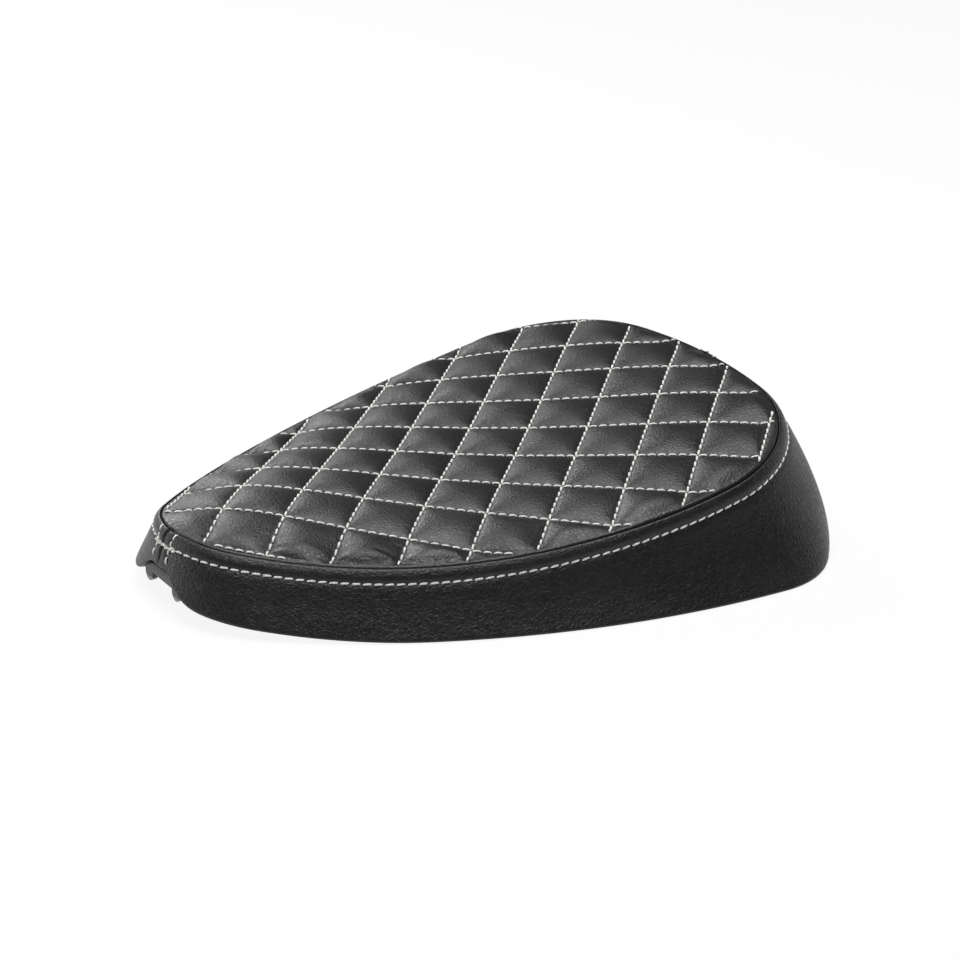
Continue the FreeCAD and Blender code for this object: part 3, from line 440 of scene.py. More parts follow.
def cloth_material():
    """Seam tape: a plain weave of two crossed waves, off-black."""
    material, tree, body, place = bare_material("seam tape", Roughness=0.85, Specular_IOR_Level=0.2)
    split = add(tree, "ShaderNodeSeparateXYZ", {0: place}).outputs
    level = math_node(tree, "ADD", split[0], split[1])
    lengthwise = math_node(tree, "SINE", math_node(tree, "MULTIPLY", level, WEAVE))
    upright = math_node(tree, "SINE", math_node(tree, "MULTIPLY", split[2], WEAVE))
    weave = ramp(tree, math_node(tree, "MULTIPLY", lengthwise, upright), -0.6, 0.6)
    black = mix_colour(tree, weave, (0.02, 0.02, 0.022), (0.07, 0.07, 0.075))
    tree.links.new(black, body.inputs["Base Color"])
    bump(tree, body, weave, 0.0002)
    return material


PANEL_VINYL = vinyl("quilted vinyl", 430.0, 0.00010, 0.36, (0.0085, 0.0085, 0.0089), 0.8)
SKIRT_VINYL = vinyl("skirt vinyl", 400.0, 0.00015, 0.36, (0.0075, 0.0075, 0.0079), 0.6)
THREAD = thread_material("ivory thread", (0.90, 0.89, 0.85))
FOAM, TAPE = foam_material(), cloth_material()
print("soft finishes:", PANEL_VINYL.name, SKIRT_VINYL.name, THREAD.name, FOAM.name, TAPE.name)

# %% Plastic, steel, brass and rubber
def moulded_plastic():
    """Black polypropylene: a fine spark texture, flow marks, and small grey scuffs."""
    material, tree, body, place = bare_material("pan plastic", Specular_IOR_Level=0.45)
    spark = noise(tree, place, 2600.0, 2.0)
    flow = noise(tree, place, 18.0, 3.0)
    scuff = use(tree, WEAR, {"Vector": place, "Amount": 0.5, "Scale": 420.0})["Mask"]
    dust = use(tree, DUST, {"Vector": place, "Amount": 0.08})["Mask"]
    base = mix_colour(tree, ramp(tree, flow, 0.35, 0.65), (0.016, 0.016, 0.017), (0.024, 0.024, 0.025))
    scuffed = mix_colour(tree, scuff, base, (0.09, 0.09, 0.092))
    tree.links.new(mix_colour(tree, dust, scuffed, (0.28, 0.27, 0.25)), body.inputs["Base Color"])
    tree.links.new(ramp(tree, flow, 0.3, 0.7, 0.42, 0.58), body.inputs["Roughness"])
    bump(tree, body, spark, 0.00006)
    return material


RUBBED_FADE = 0.0016            # metres over which the coat is rubbed thin before it is gone


def coated_steel(bare_below=None):
    """Black powder coat with orange-peel relief and small chips down to the steel; below a height, in
    metres, the coat is rubbed away altogether, as on ears that slide over the frame."""
    name = "coated steel" if bare_below is None else "coated steel with rubbed ears"
    material, tree, body, place = bare_material(name, Specular_IOR_Level=0.5)
    peel = noise(tree, place, 700.0, 2.0)
    bare = use(tree, WEAR, {"Vector": place, "Amount": 0.6, "Scale": 260.0})["Mask"]
    if bare_below is not None:
        height = add(tree, "ShaderNodeSeparateXYZ", {0: place}).outputs[2]
        uneven = math_node(tree, "MULTIPLY", noise(tree, place, 420.0, 4.0), RUBBED_FADE)
        ragged = math_node(tree, "ADD", height, uneven)
        rubbed = ramp(tree, ragged, bare_below, bare_below + RUBBED_FADE, 1.0, 0.0)
        bare = math_node(tree, "MAXIMUM", bare, rubbed)
    coat = mix_colour(tree, bare, (0.018, 0.018, 0.019), (0.24, 0.24, 0.235))
    tree.links.new(coat, body.inputs["Base Color"])
    tree.links.new(bare, body.inputs["Metallic"])
    tree.links.new(ramp(tree, peel, 0.3, 0.7, 0.36, 0.46), body.inputs["Roughness"])
    bump(tree, body, peel, 0.00008)
    return material


def plated_metal(name, light, dark, rough):
    """Plated or plain metal: cloudy tone and fine brushed scratches."""
    material, tree, body, place = bare_material(name, Metallic=1.0)
    cloud = ramp(tree, noise(tree, place, 160.0, 5.0), 0.35, 0.65)
    brushed = add(tree, "ShaderNodeMapping", {"Vector": place, "Scale": (1.0, 1.0, 14.0)}).outputs[0]
    scratch = noise(tree, brushed, 900.0, 3.0)
    tree.links.new(mix_colour(tree, cloud, dark, light), body.inputs["Base Color"])
    tree.links.new(ramp(tree, scratch, 0.3, 0.7, rough - 0.08, rough + 0.1), body.inputs["Roughness"])
    bump(tree, body, scratch, 0.00002)
    return material


def rubber_material():
    """Bumper rubber: matt, greyed by ozone in patches, with a faint moulded texture."""
    material, tree, body, place = bare_material("bumper rubber", Specular_IOR_Level=0.3)
    patch = noise(tree, place, 90.0, 5.0)
    bloom = ramp(tree, patch, 0.4, 0.75)
    greyed = mix_colour(tree, bloom, (0.014, 0.014, 0.014), (0.040, 0.040, 0.039))
    tree.links.new(greyed, body.inputs["Base Color"])
    tree.links.new(ramp(tree, patch, 0.3, 0.7, 0.68, 0.84), body.inputs["Roughness"])
    bump(tree, body, noise(tree, place, 1500.0, 2.0), 0.00005)
    return material


PLASTIC, RUBBER = moulded_plastic(), rubber_material()
BLACK_STEEL, BRACKET_STEEL = coated_steel(), coated_steel(bare_below=0.0096)
ZINC = plated_metal("zinc plate", (0.66, 0.67, 0.66), (0.48, 0.49, 0.47), 0.32)
BRASS = plated_metal("brass", (0.72, 0.52, 0.24), (0.46, 0.31, 0.13), 0.30)
NODE_FINISHES = {"seat_pan": PLASTIC, "cover_staples": ZINC, "front_bracket": BRACKET_STEEL,
                 "bracket_weld_nut": ZINC, "bracket_washers": ZINC, "bracket_screws": ZINC,
                 "bracket_tee_nuts": ZINC, "rear_mount_plate": BLACK_STEEL, "rear_studs": ZINC,
                 "plate_inserts": BRASS, "plate_washers": ZINC, "plate_screws": ZINC,
                 "bumper_washers": ZINC, "bumper_screws": ZINC, "band_seam_tape": TAPE,
                 "nose_seam_tape": TAPE, "rear_seam_tape": TAPE}
NODE_FINISHES.update({name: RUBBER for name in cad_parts
                      if name.startswith("bumper_") and name not in NODE_FINISHES})
for name, finish in NODE_FINISHES.items():
    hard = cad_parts[name]
    if not hard.material_slots:
        hard.data.materials.append(finish)
    for material_slot in hard.material_slots:
        material_slot.material = finish
print("nodes that keep their shape and get a finish:", len(NODE_FINISHES))

# %% [markdown]
# ## Quilted top
# The panel is vinyl over soft foam, sewn through in diamonds. Each diamond swells like a small pillow
# because the thread holds it down along four lines. Bump alone would not show at the rim, so the pillows
# are real shape. They come from a cloth simulation: a sheet with the lattice's own grid is pinned along
# every sewn line and blown up with pressure. The result is read as a height over the sewn lines, and laid
# on a finer mesh that follows the panel's edge.

# %% Edge of the panel
COVER_INSET = 1.55              # from the wall's outside to the panel's edge, across the seam groove
COVER_EDGE_DROP = 0.9           # how far the edge is pulled down into the seam
MIDDLE_X = 202.5                # the middle from which the panel's edge is counted round
cover_seam = seam_level(ROUND, COVER_INSET)
edge_x, edge_y, edge_nx, edge_ny = wall_point(ROUND, cover_seam, COVER_INSET)
edge_reach = np.hypot(edge_x - MIDDLE_X, edge_y)
edge_lean = ((edge_x - MIDDLE_X) * edge_nx + edge_y * edge_ny) / edge_reach
edge_angle = np.unwrap(np.arctan2(edge_y, edge_x - MIDDLE_X))


def bell(distance, width):
    """Bell curve: e to the power of minus the square of distance over width, so one where distance is 0."""
    return np.exp(-(distance / width)**2)


def by_angle(angle, values):
    """Value of the panel's edge in a direction from its middle."""
    return np.interp(angle, edge_angle[::-1], values[::-1], period=2 * math.pi)


def edge_gap(x, y):
    """Distance in from the panel's edge: what is left of the ray from the middle, times its lean."""
    angle = np.arctan2(y, x - MIDDLE_X)
    return (by_angle(angle, edge_reach) - np.hypot(x - MIDDLE_X, y)) * by_angle(angle, edge_lean)


print("the panel is", round(edge_x.max() - edge_x.min(), 1), "by", round(2 * edge_y.max(), 1), "mm")

# %% Base of the sewn lines
SEWN_DEPTH = 3.1                # how deep the thread pulls the panel below the smooth top
EDGE_EASE = 5.0                 # how far from the seam that depth has mostly come about


def sewn_base(x, y):
    """Height of the panel if every point were sewn down: the top less the sewn depth, which eases to a
    small drop at the seam by a bell curve of the distance from it."""
    ease = bell(np.maximum(edge_gap(x, y), 0), EDGE_EASE)
    return top_height(x, y) - SEWN_DEPTH + (SEWN_DEPTH - COVER_EDGE_DROP) * ease


middle_base = sewn_base(np.array(MIDDLE_X), np.array(0.0))
print("sewn lines pass the middle", round(float(middle_base), 1), "mm above the hem")


# %% Cloth simulation of the pillows
SIM_STEPS = 12                  # grid steps along the side of a diamond
SIM_FRAMES = 20
SIM_PRESSURE = 300.0            # small pillows are stiff: a large cushion would take about 4
SIM_CAP = 6.0                   # no point may rise further than this, in millimetres
SIM_EDGE = 0.8                  # points nearer to the panel's edge than this stay down
CREASE_SHARE = 0.5              # how much of the fine creases is put back after smoothing


def rested(rise, sewn):
    """Foam behind the vinyl evens out its creases: each point moves halfway to the mean of its four
    neighbours, four times, while sewn points stay down. A share of the creases is put back."""
    smooth = rise
    for _ in range(4):
        around = sum(np.roll(smooth, shift, axis) for axis in (0, 1) for shift in (1, -1)) / 4
        smooth = np.where(sewn, 0, (smooth + around) / 2)
    return smooth + CREASE_SHARE * (rise - smooth)


def swollen_sheet():
    """Rise of each lattice point over the sewn lines, in millimetres, from a pinned sheet blown up."""
    count = (LAST_ROW - FIRST_ROW) * SIM_STEPS + 1
    steps = np.arange(count)
    numbers = FIRST_ROW + steps / SIM_STEPS
    i, j = np.meshgrid(numbers, numbers, indexing="ij")
    x, y = (i + j) * QUILT_PITCH / 2, (j - i) * QUILT_PITCH / 2
    flat = sewn_base(x, y)
    points = np.stack([x, y, flat], -1).reshape(-1, 3)
    faces = grid_faces(count, count)
    inside = edge_gap(x, y).reshape(-1) > SIM_EDGE
    faces = facing(points, faces[inside[faces].any(1)], np.array([MIDDLE_X, 0, -500.0]))
    sheet = make_piece("swelling_sheet", points, [faces], PANEL_VINYL)
    on_line = ((steps % SIM_STEPS) == 0)
    sewn = (on_line[:, None] | on_line[None, :]).reshape(-1) | ~inside
    group = sheet.vertex_groups.new(name="sewn")
    group.add(np.flatnonzero(sewn).tolist(), 1.0, "REPLACE")
    swell = sheet.modifiers.new("swell", "CLOTH")
    settings = swell.settings
    settings.quality = 5
    settings.mass = 0.0008
    settings.tension_stiffness = settings.compression_stiffness = 4.0
    settings.shear_stiffness = 2.0
    settings.bending_stiffness = 0.5
    settings.use_pressure = True
    settings.uniform_pressure_force = SIM_PRESSURE
    settings.effector_weights.gravity = 0.0
    settings.vertex_group_mass = group.name
    swell.collision_settings.use_collision = False
    swell.point_cache.frame_start, swell.point_cache.frame_end = 1, SIM_FRAMES
    for step in range(1, SIM_FRAMES + 1):
        bpy.context.scene.frame_set(step)
    result = sheet.evaluated_get(bpy.context.evaluated_depsgraph_get()).data
    co = np.zeros(3 * len(points), np.float32)
    result.vertices.foreach_get("co", co)
    rise = co.reshape(-1, 3)[:, 2] / MM - points[:, 2]
    bpy.data.objects.remove(sheet)
    bpy.context.scene.frame_set(1)
    return rested(np.clip(rise, 0, SIM_CAP).reshape(count, count), sewn.reshape(count, count))


PILLOWS = swollen_sheet()
print("pillows rise to", round(float(PILLOWS.max()), 2), "mm over their thread")

# %% Reading the pillows anywhere
PILLOW_HEIGHT = 3.6             # how far a full pillow stands over its thread
RELIEF_FADE = 1.5               # pillows and puckers fade out towards the seam over this length
STITCHES_PER_SIDE = 6
QUILT_STITCH = DIAMOND_SIDE / STITCHES_PER_SIDE


def smooth_read(grid, i, j):
    """Value between grid points from the sixteen round it, with Catmull and Rom's weights: a cubic that
    passes through the points and keeps their slopes."""
    size = grid.shape[0]
    i0, j0 = np.floor(i).astype(int), np.floor(j).astype(int)
    total = np.zeros(np.shape(i))
    weights = []
    for t in (i - i0, j - j0):
        weights.append((t * (-0.5 + t * (1 - 0.5 * t)), 1 + t * t * (1.5 * t - 2.5),
                        t * (0.5 + t * (2 - 1.5 * t)), t * t * (0.5 * t - 0.5)))
    for a in range(4):
        for b in range(4):
            value = grid[np.clip(i0 + a - 1, 0, size - 1), np.clip(j0 + b - 1, 0, size - 1)]
            total += weights[0][a] * weights[1][b] * value
    return total


def lattice(x, y):
    """Lattice numbers of a place: whole numbers are sewn lines."""
    return (x - y) / QUILT_PITCH, (x + y) / QUILT_PITCH


def from_line(number):
    """Distance in millimetres from the nearest sewn line of one direction."""
    return np.abs(number - np.round(number)) * DIAMOND_SIDE


def puckers(x, y):
    """Small gathers that each stitch draws: a wave along the line with the stitch's own length, which
    fades with the distance from the line, and a dimple where the thread goes down."""
    i, j = lattice(x, y)
    relief = np.zeros(np.shape(x))
    for across, along in ((i, j), (j, i)):
        away = from_line(across)
        wave = np.cos(2 * math.pi * STITCHES_PER_SIDE * along)
        uneven = 0.7 + 0.3 * np.sin(5.1 * along + 2.3 * np.round(across))
        relief += 0.17 * uneven * wave * np.exp(-away / 2.6) * np.minimum(away / 0.9, 1)
        relief -= (0.26 + 0.12 * wave) * bell(away, 1.0)
    return relief


PILLOW_SCALE = PILLOW_HEIGHT / float(np.percentile(PILLOWS[PILLOWS > 0.3 * PILLOWS.max()], 90))


def cover_height(x, y):
    """Sewn base, plus the pillows read from the lattice, plus the stitches' puckers. Both are times one
    less e to the power of minus the distance from the seam over the fade's length."""
    i, j = lattice(x, y)
    fade = 1 - np.exp(-np.maximum(edge_gap(x, y), 0) / RELIEF_FADE)
    pillow = smooth_read(PILLOWS, (i - FIRST_ROW) * SIM_STEPS, (j - FIRST_ROW) * SIM_STEPS) * PILLOW_SCALE
    return sewn_base(x, y) + (pillow + puckers(x, y)) * fade


print("the simulated pillows are scaled by", round(PILLOW_SCALE, 2), "to rise", PILLOW_HEIGHT, "mm")

# %% Mesh of the quilted cover
COVER_GRID = (350, 290)
# inset from the wall and depth under the seam, down the panel's cut edge and under the sew foam
COVER_SIDE = ((1.50, 1.4), (1.55, 2.2), (1.9, 3.4), (2.9, 4.8), (2.9, 7.5), (3.0, 10.0), (3.6, 10.3))
UNDER_SHARES = (0.985, 0.96, 0.9, 0.8, 0.65, 0.45, 0.25, 0.1)
UNDER_DEPTH = 10.3


def disc_grid(count_x, count_y):
    """Square to disc: x is p times the root of one less half q squared, and the same with p and q swapped.
    The disc is then stretched to the panel's edge in every direction."""
    p, q = np.meshgrid(np.linspace(-1, 1, count_x), np.linspace(-1, 1, count_y), indexing="ij")
    a, b = p * np.sqrt(1 - q**2 / 2), q * np.sqrt(1 - p**2 / 2)
    share, angle = np.hypot(a, b), np.arctan2(b, a)
    reach = share * by_angle(angle, edge_reach)
    return MIDDLE_X + reach * np.cos(angle), reach * np.sin(angle)


def border(count_x, count_y):
    """Indices round the outside of a grid, in order, each once."""
    index = np.arange(count_x * count_y).reshape(count_x, count_y)
    return np.concatenate([index[:-1, 0], index[-1, :-1], index[:0:-1, -1], index[0, :0:-1]])


def build_cover():
    """Closed pad: the quilted top, rings down its edge, rings under it and a pole in the middle."""
    x, y = disc_grid(*COVER_GRID)
    points = [np.stack([x, y, cover_height(x, y)], -1).reshape(-1, 3)]
    faces = [grid_faces(*COVER_GRID)]
    ring = border(*COVER_GRID)
    edge = points[0][ring]
    turn = by_angle(np.arctan2(edge[:, 1], edge[:, 0] - MIDDLE_X), ROUND)
    seam = np.interp(turn, ROUND, SEAM_Z)
    rings = []
    for inset, depth in COVER_SIDE:
        px, py, _, _ = wall_point(turn, seam - depth, inset)
        rings.append(np.stack([px, py, seam - depth], -1))
    lowest = rings[-1]
    for share in UNDER_SHARES:
        px, py = MIDDLE_X + (lowest[:, 0] - MIDDLE_X) * share, lowest[:, 1] * share
        rings.append(np.stack([px, py, top_height(px, py) - UNDER_DEPTH], -1))
    start = len(points[0])
    points.append(np.concatenate(rings))
    count = len(ring)
    after = np.roll(ring, -1)
    first = start + np.arange(count)
    faces.append(np.stack([ring, after, np.roll(first, -1), first], -1))
    faces.append(grid_faces(len(rings), count, ring=True) + start)
    pole = start + len(rings) * count
    points.append(np.array([[MIDDLE_X, 0.0, top_height(np.array(MIDDLE_X), np.array(0.0)) - UNDER_DEPTH]]))
    last = pole - count + np.arange(count)
    fan = np.stack([last, np.roll(last, -1), np.full(count, pole)], -1)
    points = np.concatenate(points)
    middle = np.array([MIDDLE_X, 0, 45.0])
    top = facing(points, faces[0], middle - [0, 0, 500.0])
    sides = [facing(points, f, middle) for f in faces[1:]] + [facing(points, fan, middle + [0, 0, 500.0])]
    uv = np.stack(lattice(points[:, 0], points[:, 1]), -1)
    return make_piece("quilted_cover", points, [top, *sides], PANEL_VINYL, uv)


cover = build_cover()
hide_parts("quilted_panel", "panel_sew_foam", "panel_backing_cloth")

# %% [markdown]
# ## Side skirts
# Each skirt is one strip of vinyl. Its top edge is folded into the seam, then it is topstitched eight
# millimetres lower, so a narrow band puffs out between the two. Below it the vinyl lies tight on the foam,
# rolls under the rim and is turned up inside. The strip is a grid: round the seat one way, and down, under
# and up the other. Solidify then gives the sheet its thickness.

# %% Lower edge of the skirt
def hem_level(x, y):
    """Height of the lower edge: an arc that rises ahead of the flat part, and over the middle of the nose
    an arch, one over one plus the fifth power of the distance from the middle."""
    radius = (HEM_RISE_LENGTH**2 + HEM_RISE**2) / (2 * HEM_RISE)
    ahead = np.clip(HEM_RISE_LENGTH - x, 0, HEM_RISE_LENGTH + 20)
    rise = radius - np.sqrt(radius**2 - ahead**2)
    arch = np.where(x < HEM_RISE_LENGTH, (NOTCH_TOP - rise) / (1 + (np.abs(y) / NOTCH_HALF)**5), 0)
    return rise + arch, np.clip(arch / (NOTCH_TOP - HEM_RISE), 0, 1)


print("the hem's arch at the nose is", round(float(hem_level(0.0, 0.0)[0]), 1), "mm high")

# %% Relief of the skirt
BAND_TOP = 1.45                 # the band's fold lies this far under the panel's edge
SEAM_ROW_SHAPE = ((0.0, TOPSTITCH, 20.0), (8.3, 6.0, 7.6))
REAR_ROW = 6.5                  # from the rear seam to the row of stitches beside it
TOP_PITCH = 5.45
NOSE_SEAM_END, REAR_SEAM_START = 90, 300
SEAM_GROOVE, SEAM_PUFF, ROW_DIP = 1.25, 0.62, 0.35
BAND_SINK, BAND_LEAN, BAND_PUFF = 0.1, 0.35, 1.35
THREAD_DIP, ROLL_RISE = 0.45, 0.55
GATHER, SLACK = 0.10, 0.16      # height of the gathers at the thread, and of the slack near the nose


def seam_relief(across, row):
    """Relief of an upright seam: a narrow bell-shaped groove, a puff like half a sine out to the row of
    stitches, and a smaller bell-shaped dip there."""
    groove = -SEAM_GROOVE * bell(across, 0.75)
    puff = SEAM_PUFF * np.sin(math.pi * np.clip(across / row, 0, 1))**0.7
    return groove + puff - ROW_DIP * bell(across - row, 0.8)


def skirt_relief(u, down, x, y):
    """How far the skirt stands out from the plain wall, at a distance down from the seam: the band puffs as
    a sine between seam and topstitching, dips at the thread, and a small roll fades away below it."""
    u, down, x, y = np.broadcast_arrays(u, np.asarray(down, float), x, y)
    t = np.clip((down - BAND_TOP) / (TOPSTITCH - BAND_TOP), 0, 1)
    band = -BAND_SINK - BAND_LEAN * t + BAND_PUFF * np.sin(math.pi * t)**0.72
    below = np.maximum(down - TOPSTITCH, 0)
    roll = ROLL_RISE * (1 - np.exp(-below / 1.6)) * np.exp(-below / 11.0)
    roll = -THREAD_DIP * np.exp(-below / 1.1) + roll
    relief = np.where(down <= TOPSTITCH, band, roll)
    along = u * 2 * sum(ARC_LENGTHS)
    gather = np.cos(2 * math.pi * along / TOP_PITCH) * np.exp(-np.abs(down - TOPSTITCH) / 2.0)
    relief = relief + GATHER * gather * (0.7 + 0.3 * np.sin(along / 23.0))
    waves = np.sin(down / 4.3 + 1.7 * np.sin(along / 41.0)) * np.sin(along / 67.0 + 0.8)
    slack = waves * np.clip(below / 12, 0, 1)
    relief += SLACK * slack * bell(x - 70, 60)
    nose = np.interp(down, *SEAM_ROW_SHAPE)
    relief += np.where(x < NOSE_SEAM_END, seam_relief(np.abs(y), nose), 0)
    relief += np.where(x > REAR_SEAM_START, seam_relief(np.abs(y), REAR_ROW), 0)
    return relief


sample = skirt_relief(0.25, np.linspace(BAND_TOP, TOPSTITCH, 50), 200.0, 120.0)
print("halfway round, the band puffs out by", round(float(sample.max()), 2), "mm")

# %% Rows of the skirt, from the tuck to the turned-up end
# depth under the seam and inset from the wall, up the tucked edge and over its fold
TUCK = ((4.9, 1.95), (4.5, 1.3), (3.9, 0.98), (3.0, 0.9), (2.2, 0.84), (1.75, 0.66), (1.5, 0.38))
CORNER, INNER_CORNER = 2.2, 1.7


def skirt_rows(u):
    """Levels and insets of all rows for every column. Below the tuck come the band, the wall down to the
    hem's corner, a quarter turn under, the flange, a quarter turn up and the turned-up end."""
    seam = np.interp(u, ROUND, SEAM_Z)
    x, y, _, _ = wall_point(u, 10.0)
    hem, notch = hem_level(x, y)
    corner = CORNER - 0.9 * notch
    height = seam - hem - corner
    levels = [seam - depth for depth, _ in TUCK]
    insets = [np.full(u.shape, inset) for _, inset in TUCK]
    band = BAND_TOP + (TOPSTITCH - BAND_TOP) * np.linspace(0, 1, 19)
    share = np.linspace(0, 1, 40)[1:]**1.25
    for down in [np.full(u.shape, d) for d in band] + [TOPSTITCH + (height - TOPSTITCH) * f for f in share]:
        px, py, _, _ = wall_point(u, seam - down)
        fade = np.clip((height - down) / 6.0, 0, 1)
        levels.append(seam - down)
        insets.append(-skirt_relief(u, down, px, py) * np.maximum(fade, 0.25))
    settle = insets[-1]
    for angle in np.radians([18, 36, 54, 72, 90]):
        levels.append(hem + corner * (1 - np.sin(angle)))
        insets.append(settle * math.cos(angle) + corner * (1 - np.cos(angle)))
    flange = FLANGE + (4.2 - FLANGE) * notch
    up = TURN_UP + (7.0 - TURN_UP) * notch
    for share in (0.3, 0.65, 1.0):
        levels.append(hem + 0 * u)
        insets.append(corner + (flange - INNER_CORNER - corner) * share)
    for angle in np.radians([30, 60, 90]):
        levels.append(hem + INNER_CORNER * (1 - np.cos(angle)))
        insets.append(flange - INNER_CORNER * (1 - np.sin(angle)))
    for share in (0.25, 0.5, 0.75, 1.0):
        levels.append(hem + INNER_CORNER + (up - INNER_CORNER) * share)
        insets.append(flange + 0 * u)
    return np.array(levels), np.array(insets)


def skirt_columns():
    """Share of the way from nose to rear: close together at the upright seams, 1.5 mm apart elsewhere."""
    half = sum(ARC_LENGTHS)
    near = np.array([0, 0.3, 0.6, 0.95, 1.35, 1.8, 2.4, 3.0, 3.8, 4.6, 5.4, 6.0, 6.6, 7.2, 7.8, 8.4,
                     9.2, 10.2])
    far = np.linspace(11.4, half - 11.4, 272)
    return np.concatenate([near, far, half - near[::-1]]) / half


def build_skirt(name, node, side):
    """One skirt: the grid of rows and columns, kept off the other skirt by a hair at both seams."""
    s = skirt_columns()
    u = s / 2 if side > 0 else 1 - s / 2
    levels, insets = skirt_rows(u)
    x, y, _, _ = wall_point(np.broadcast_to(u, levels.shape), levels, insets)
    y = side * np.maximum(np.abs(y), 0.06)
    points = np.stack([x, y, levels], -1).reshape(-1, 3)
    faces = facing(points, grid_faces(*levels.shape), np.array([MIDDLE_X, 0, 20.0]))
    uv = np.stack([np.broadcast_to(s * 8.0, levels.shape), levels / 50], -1).reshape(-1, 2)
    skirt = make_piece(name, points, [faces], SKIRT_VINYL, uv)
    full = np.ones(levels.shape)
    full[:len(TUCK) - 1] = 0.25
    group = skirt.vertex_groups.new(name="thickness")
    for weight in (0.25, 1.0):
        group.add(np.flatnonzero(full.reshape(-1) == weight).tolist(), weight, "REPLACE")
    wall = skirt.modifiers.new("vinyl thickness", "SOLIDIFY")
    wall.thickness = VINYL * MM
    wall.offset = -1.0
    wall.vertex_group = group.name
    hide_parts(node)


build_skirt("skirt_right", "side_skirt_right", 1)
build_skirt("skirt_left", "side_skirt_left", -1)

# %% [markdown]
# ## Thread
# The white thread is what the eye follows, so every stitch is its own small shape: six rings of six
# points, which rise out of one hole, lie on the vinyl and go down the next. All stitches of a seam are
# worked out together as arrays: a line over the surface is cut into spans of the stitch's length.

# %% Stitches along a line
# share of the way along a stitch, with the thread's rise over the vinyl and its radius there
STITCH_RISE = ((0.0, -0.50, 0.40), (0.09, 0.25, 0.55), (0.30, 0.62, 0.62),
               (0.70, 0.62, 0.62), (0.91, 0.25, 0.55), (1.0, -0.50, 0.40))
RING_SIDES = 6
THREAD_FLATNESS = 0.85


def spans(line, normals, pitch, length, phase=0.0):
    """Start, end and normal of each stitch on a line: places are read off the line's own length."""
    walked = np.concatenate([[0], np.cumsum(np.linalg.norm(np.diff(line, axis=0), axis=1))])
    count = int((walked[-1] - phase - length) / pitch) + 1
    starts = phase + pitch * np.arange(max(count, 0))

    def at(places, values):
        return np.stack([np.interp(places, walked, values[:, k]) for k in range(3)], -1)

    return at(starts, line), at(starts + length, line), at(starts + length / 2, normals)


def stitch_points(start, end, normal, width=1.0, slant=0.22):
    """Rings of all stitches: a ring's middle lies on the chord, lifted along the normal by the rise, and
    its points lie round it at the radius times the width, slightly flattened. A slant moves the ends
    sideways, as a lockstitch lies."""
    chord = end - start
    along = chord / np.linalg.norm(chord, axis=1, keepdims=True)
    side = np.cross(normal, along)
    side /= np.linalg.norm(side, axis=1, keepdims=True)
    up = np.cross(along, side)
    turns = 2 * math.pi * np.arange(RING_SIDES) / RING_SIDES
    rings = []
    for share, rise, radius in STITCH_RISE:
        middle = start + chord * share + up * rise + side * slant * (2 * share - 1)
        round_it = [side * math.cos(a) * radius * width
                    + up * math.sin(a) * radius * width * THREAD_FLATNESS for a in turns]
        rings.append(np.stack([middle + r for r in round_it], 1))
    return np.stack(rings, 1)


def build_thread(name, groups, width=1.0, slant=0.22):
    """One piece from several groups of stitches: rings joined by quads, and a closed end at each side."""
    start, end, normal = (np.concatenate([g[k] for g in groups]) for k in range(3))
    rings = stitch_points(start, end, normal, width, slant)
    count, rows = rings.shape[:2]
    points = rings.reshape(-1, 3)
    offset = (np.arange(count) * rows * RING_SIDES)[:, None, None]
    quads = (grid_faces(rows, RING_SIDES, ring=True)[None] + offset).reshape(-1, 4)
    first = np.arange(RING_SIDES)
    caps = np.concatenate([first[::-1][None], (first + (rows - 1) * RING_SIDES)[None]])
    caps = (caps[None] + offset).reshape(-1, RING_SIDES)
    one = points[:rows * RING_SIDES]
    a, b, c = (one[quads[0, k]] for k in range(3))
    outwards = np.dot(np.cross(b - a, c - b), a - one.mean(0)) > 0
    quads, caps = (quads, caps) if outwards else (quads[:, ::-1], caps[:, ::-1])
    share = np.array([s for s, _, _ in STITCH_RISE])
    turn = np.arange(RING_SIDES) / RING_SIDES
    uv = np.stack(np.broadcast_arrays(share[None, :, None], turn[None, None]), -1)
    uv = np.broadcast_to(uv, (count, rows, RING_SIDES, 2)).reshape(-1, 2)
    return make_piece(name, points, [quads, caps], THREAD, uv)


# %% Quilting thread
QUILT_STITCH_LENGTH = 4.45
QUILT_SHORTEST = 1.3            # what is left of a stitch at the edge is dropped if it is shorter
QUILT_END_GAP = 0.5             # the thread ends this far from the panel's edge


def cover_normals(x, y):
    """Normal of the smooth top: minus the slopes of the crowned height, and one."""
    step = 0.5
    dx = (top_height(x + step, y) - top_height(x - step, y)) / (2 * step)
    dy = (top_height(x, y + step) - top_height(x, y - step)) / (2 * step)
    normal = np.stack([-dx, -dy, np.ones(np.shape(x))], -1)
    return normal / np.linalg.norm(normal, axis=-1, keepdims=True)


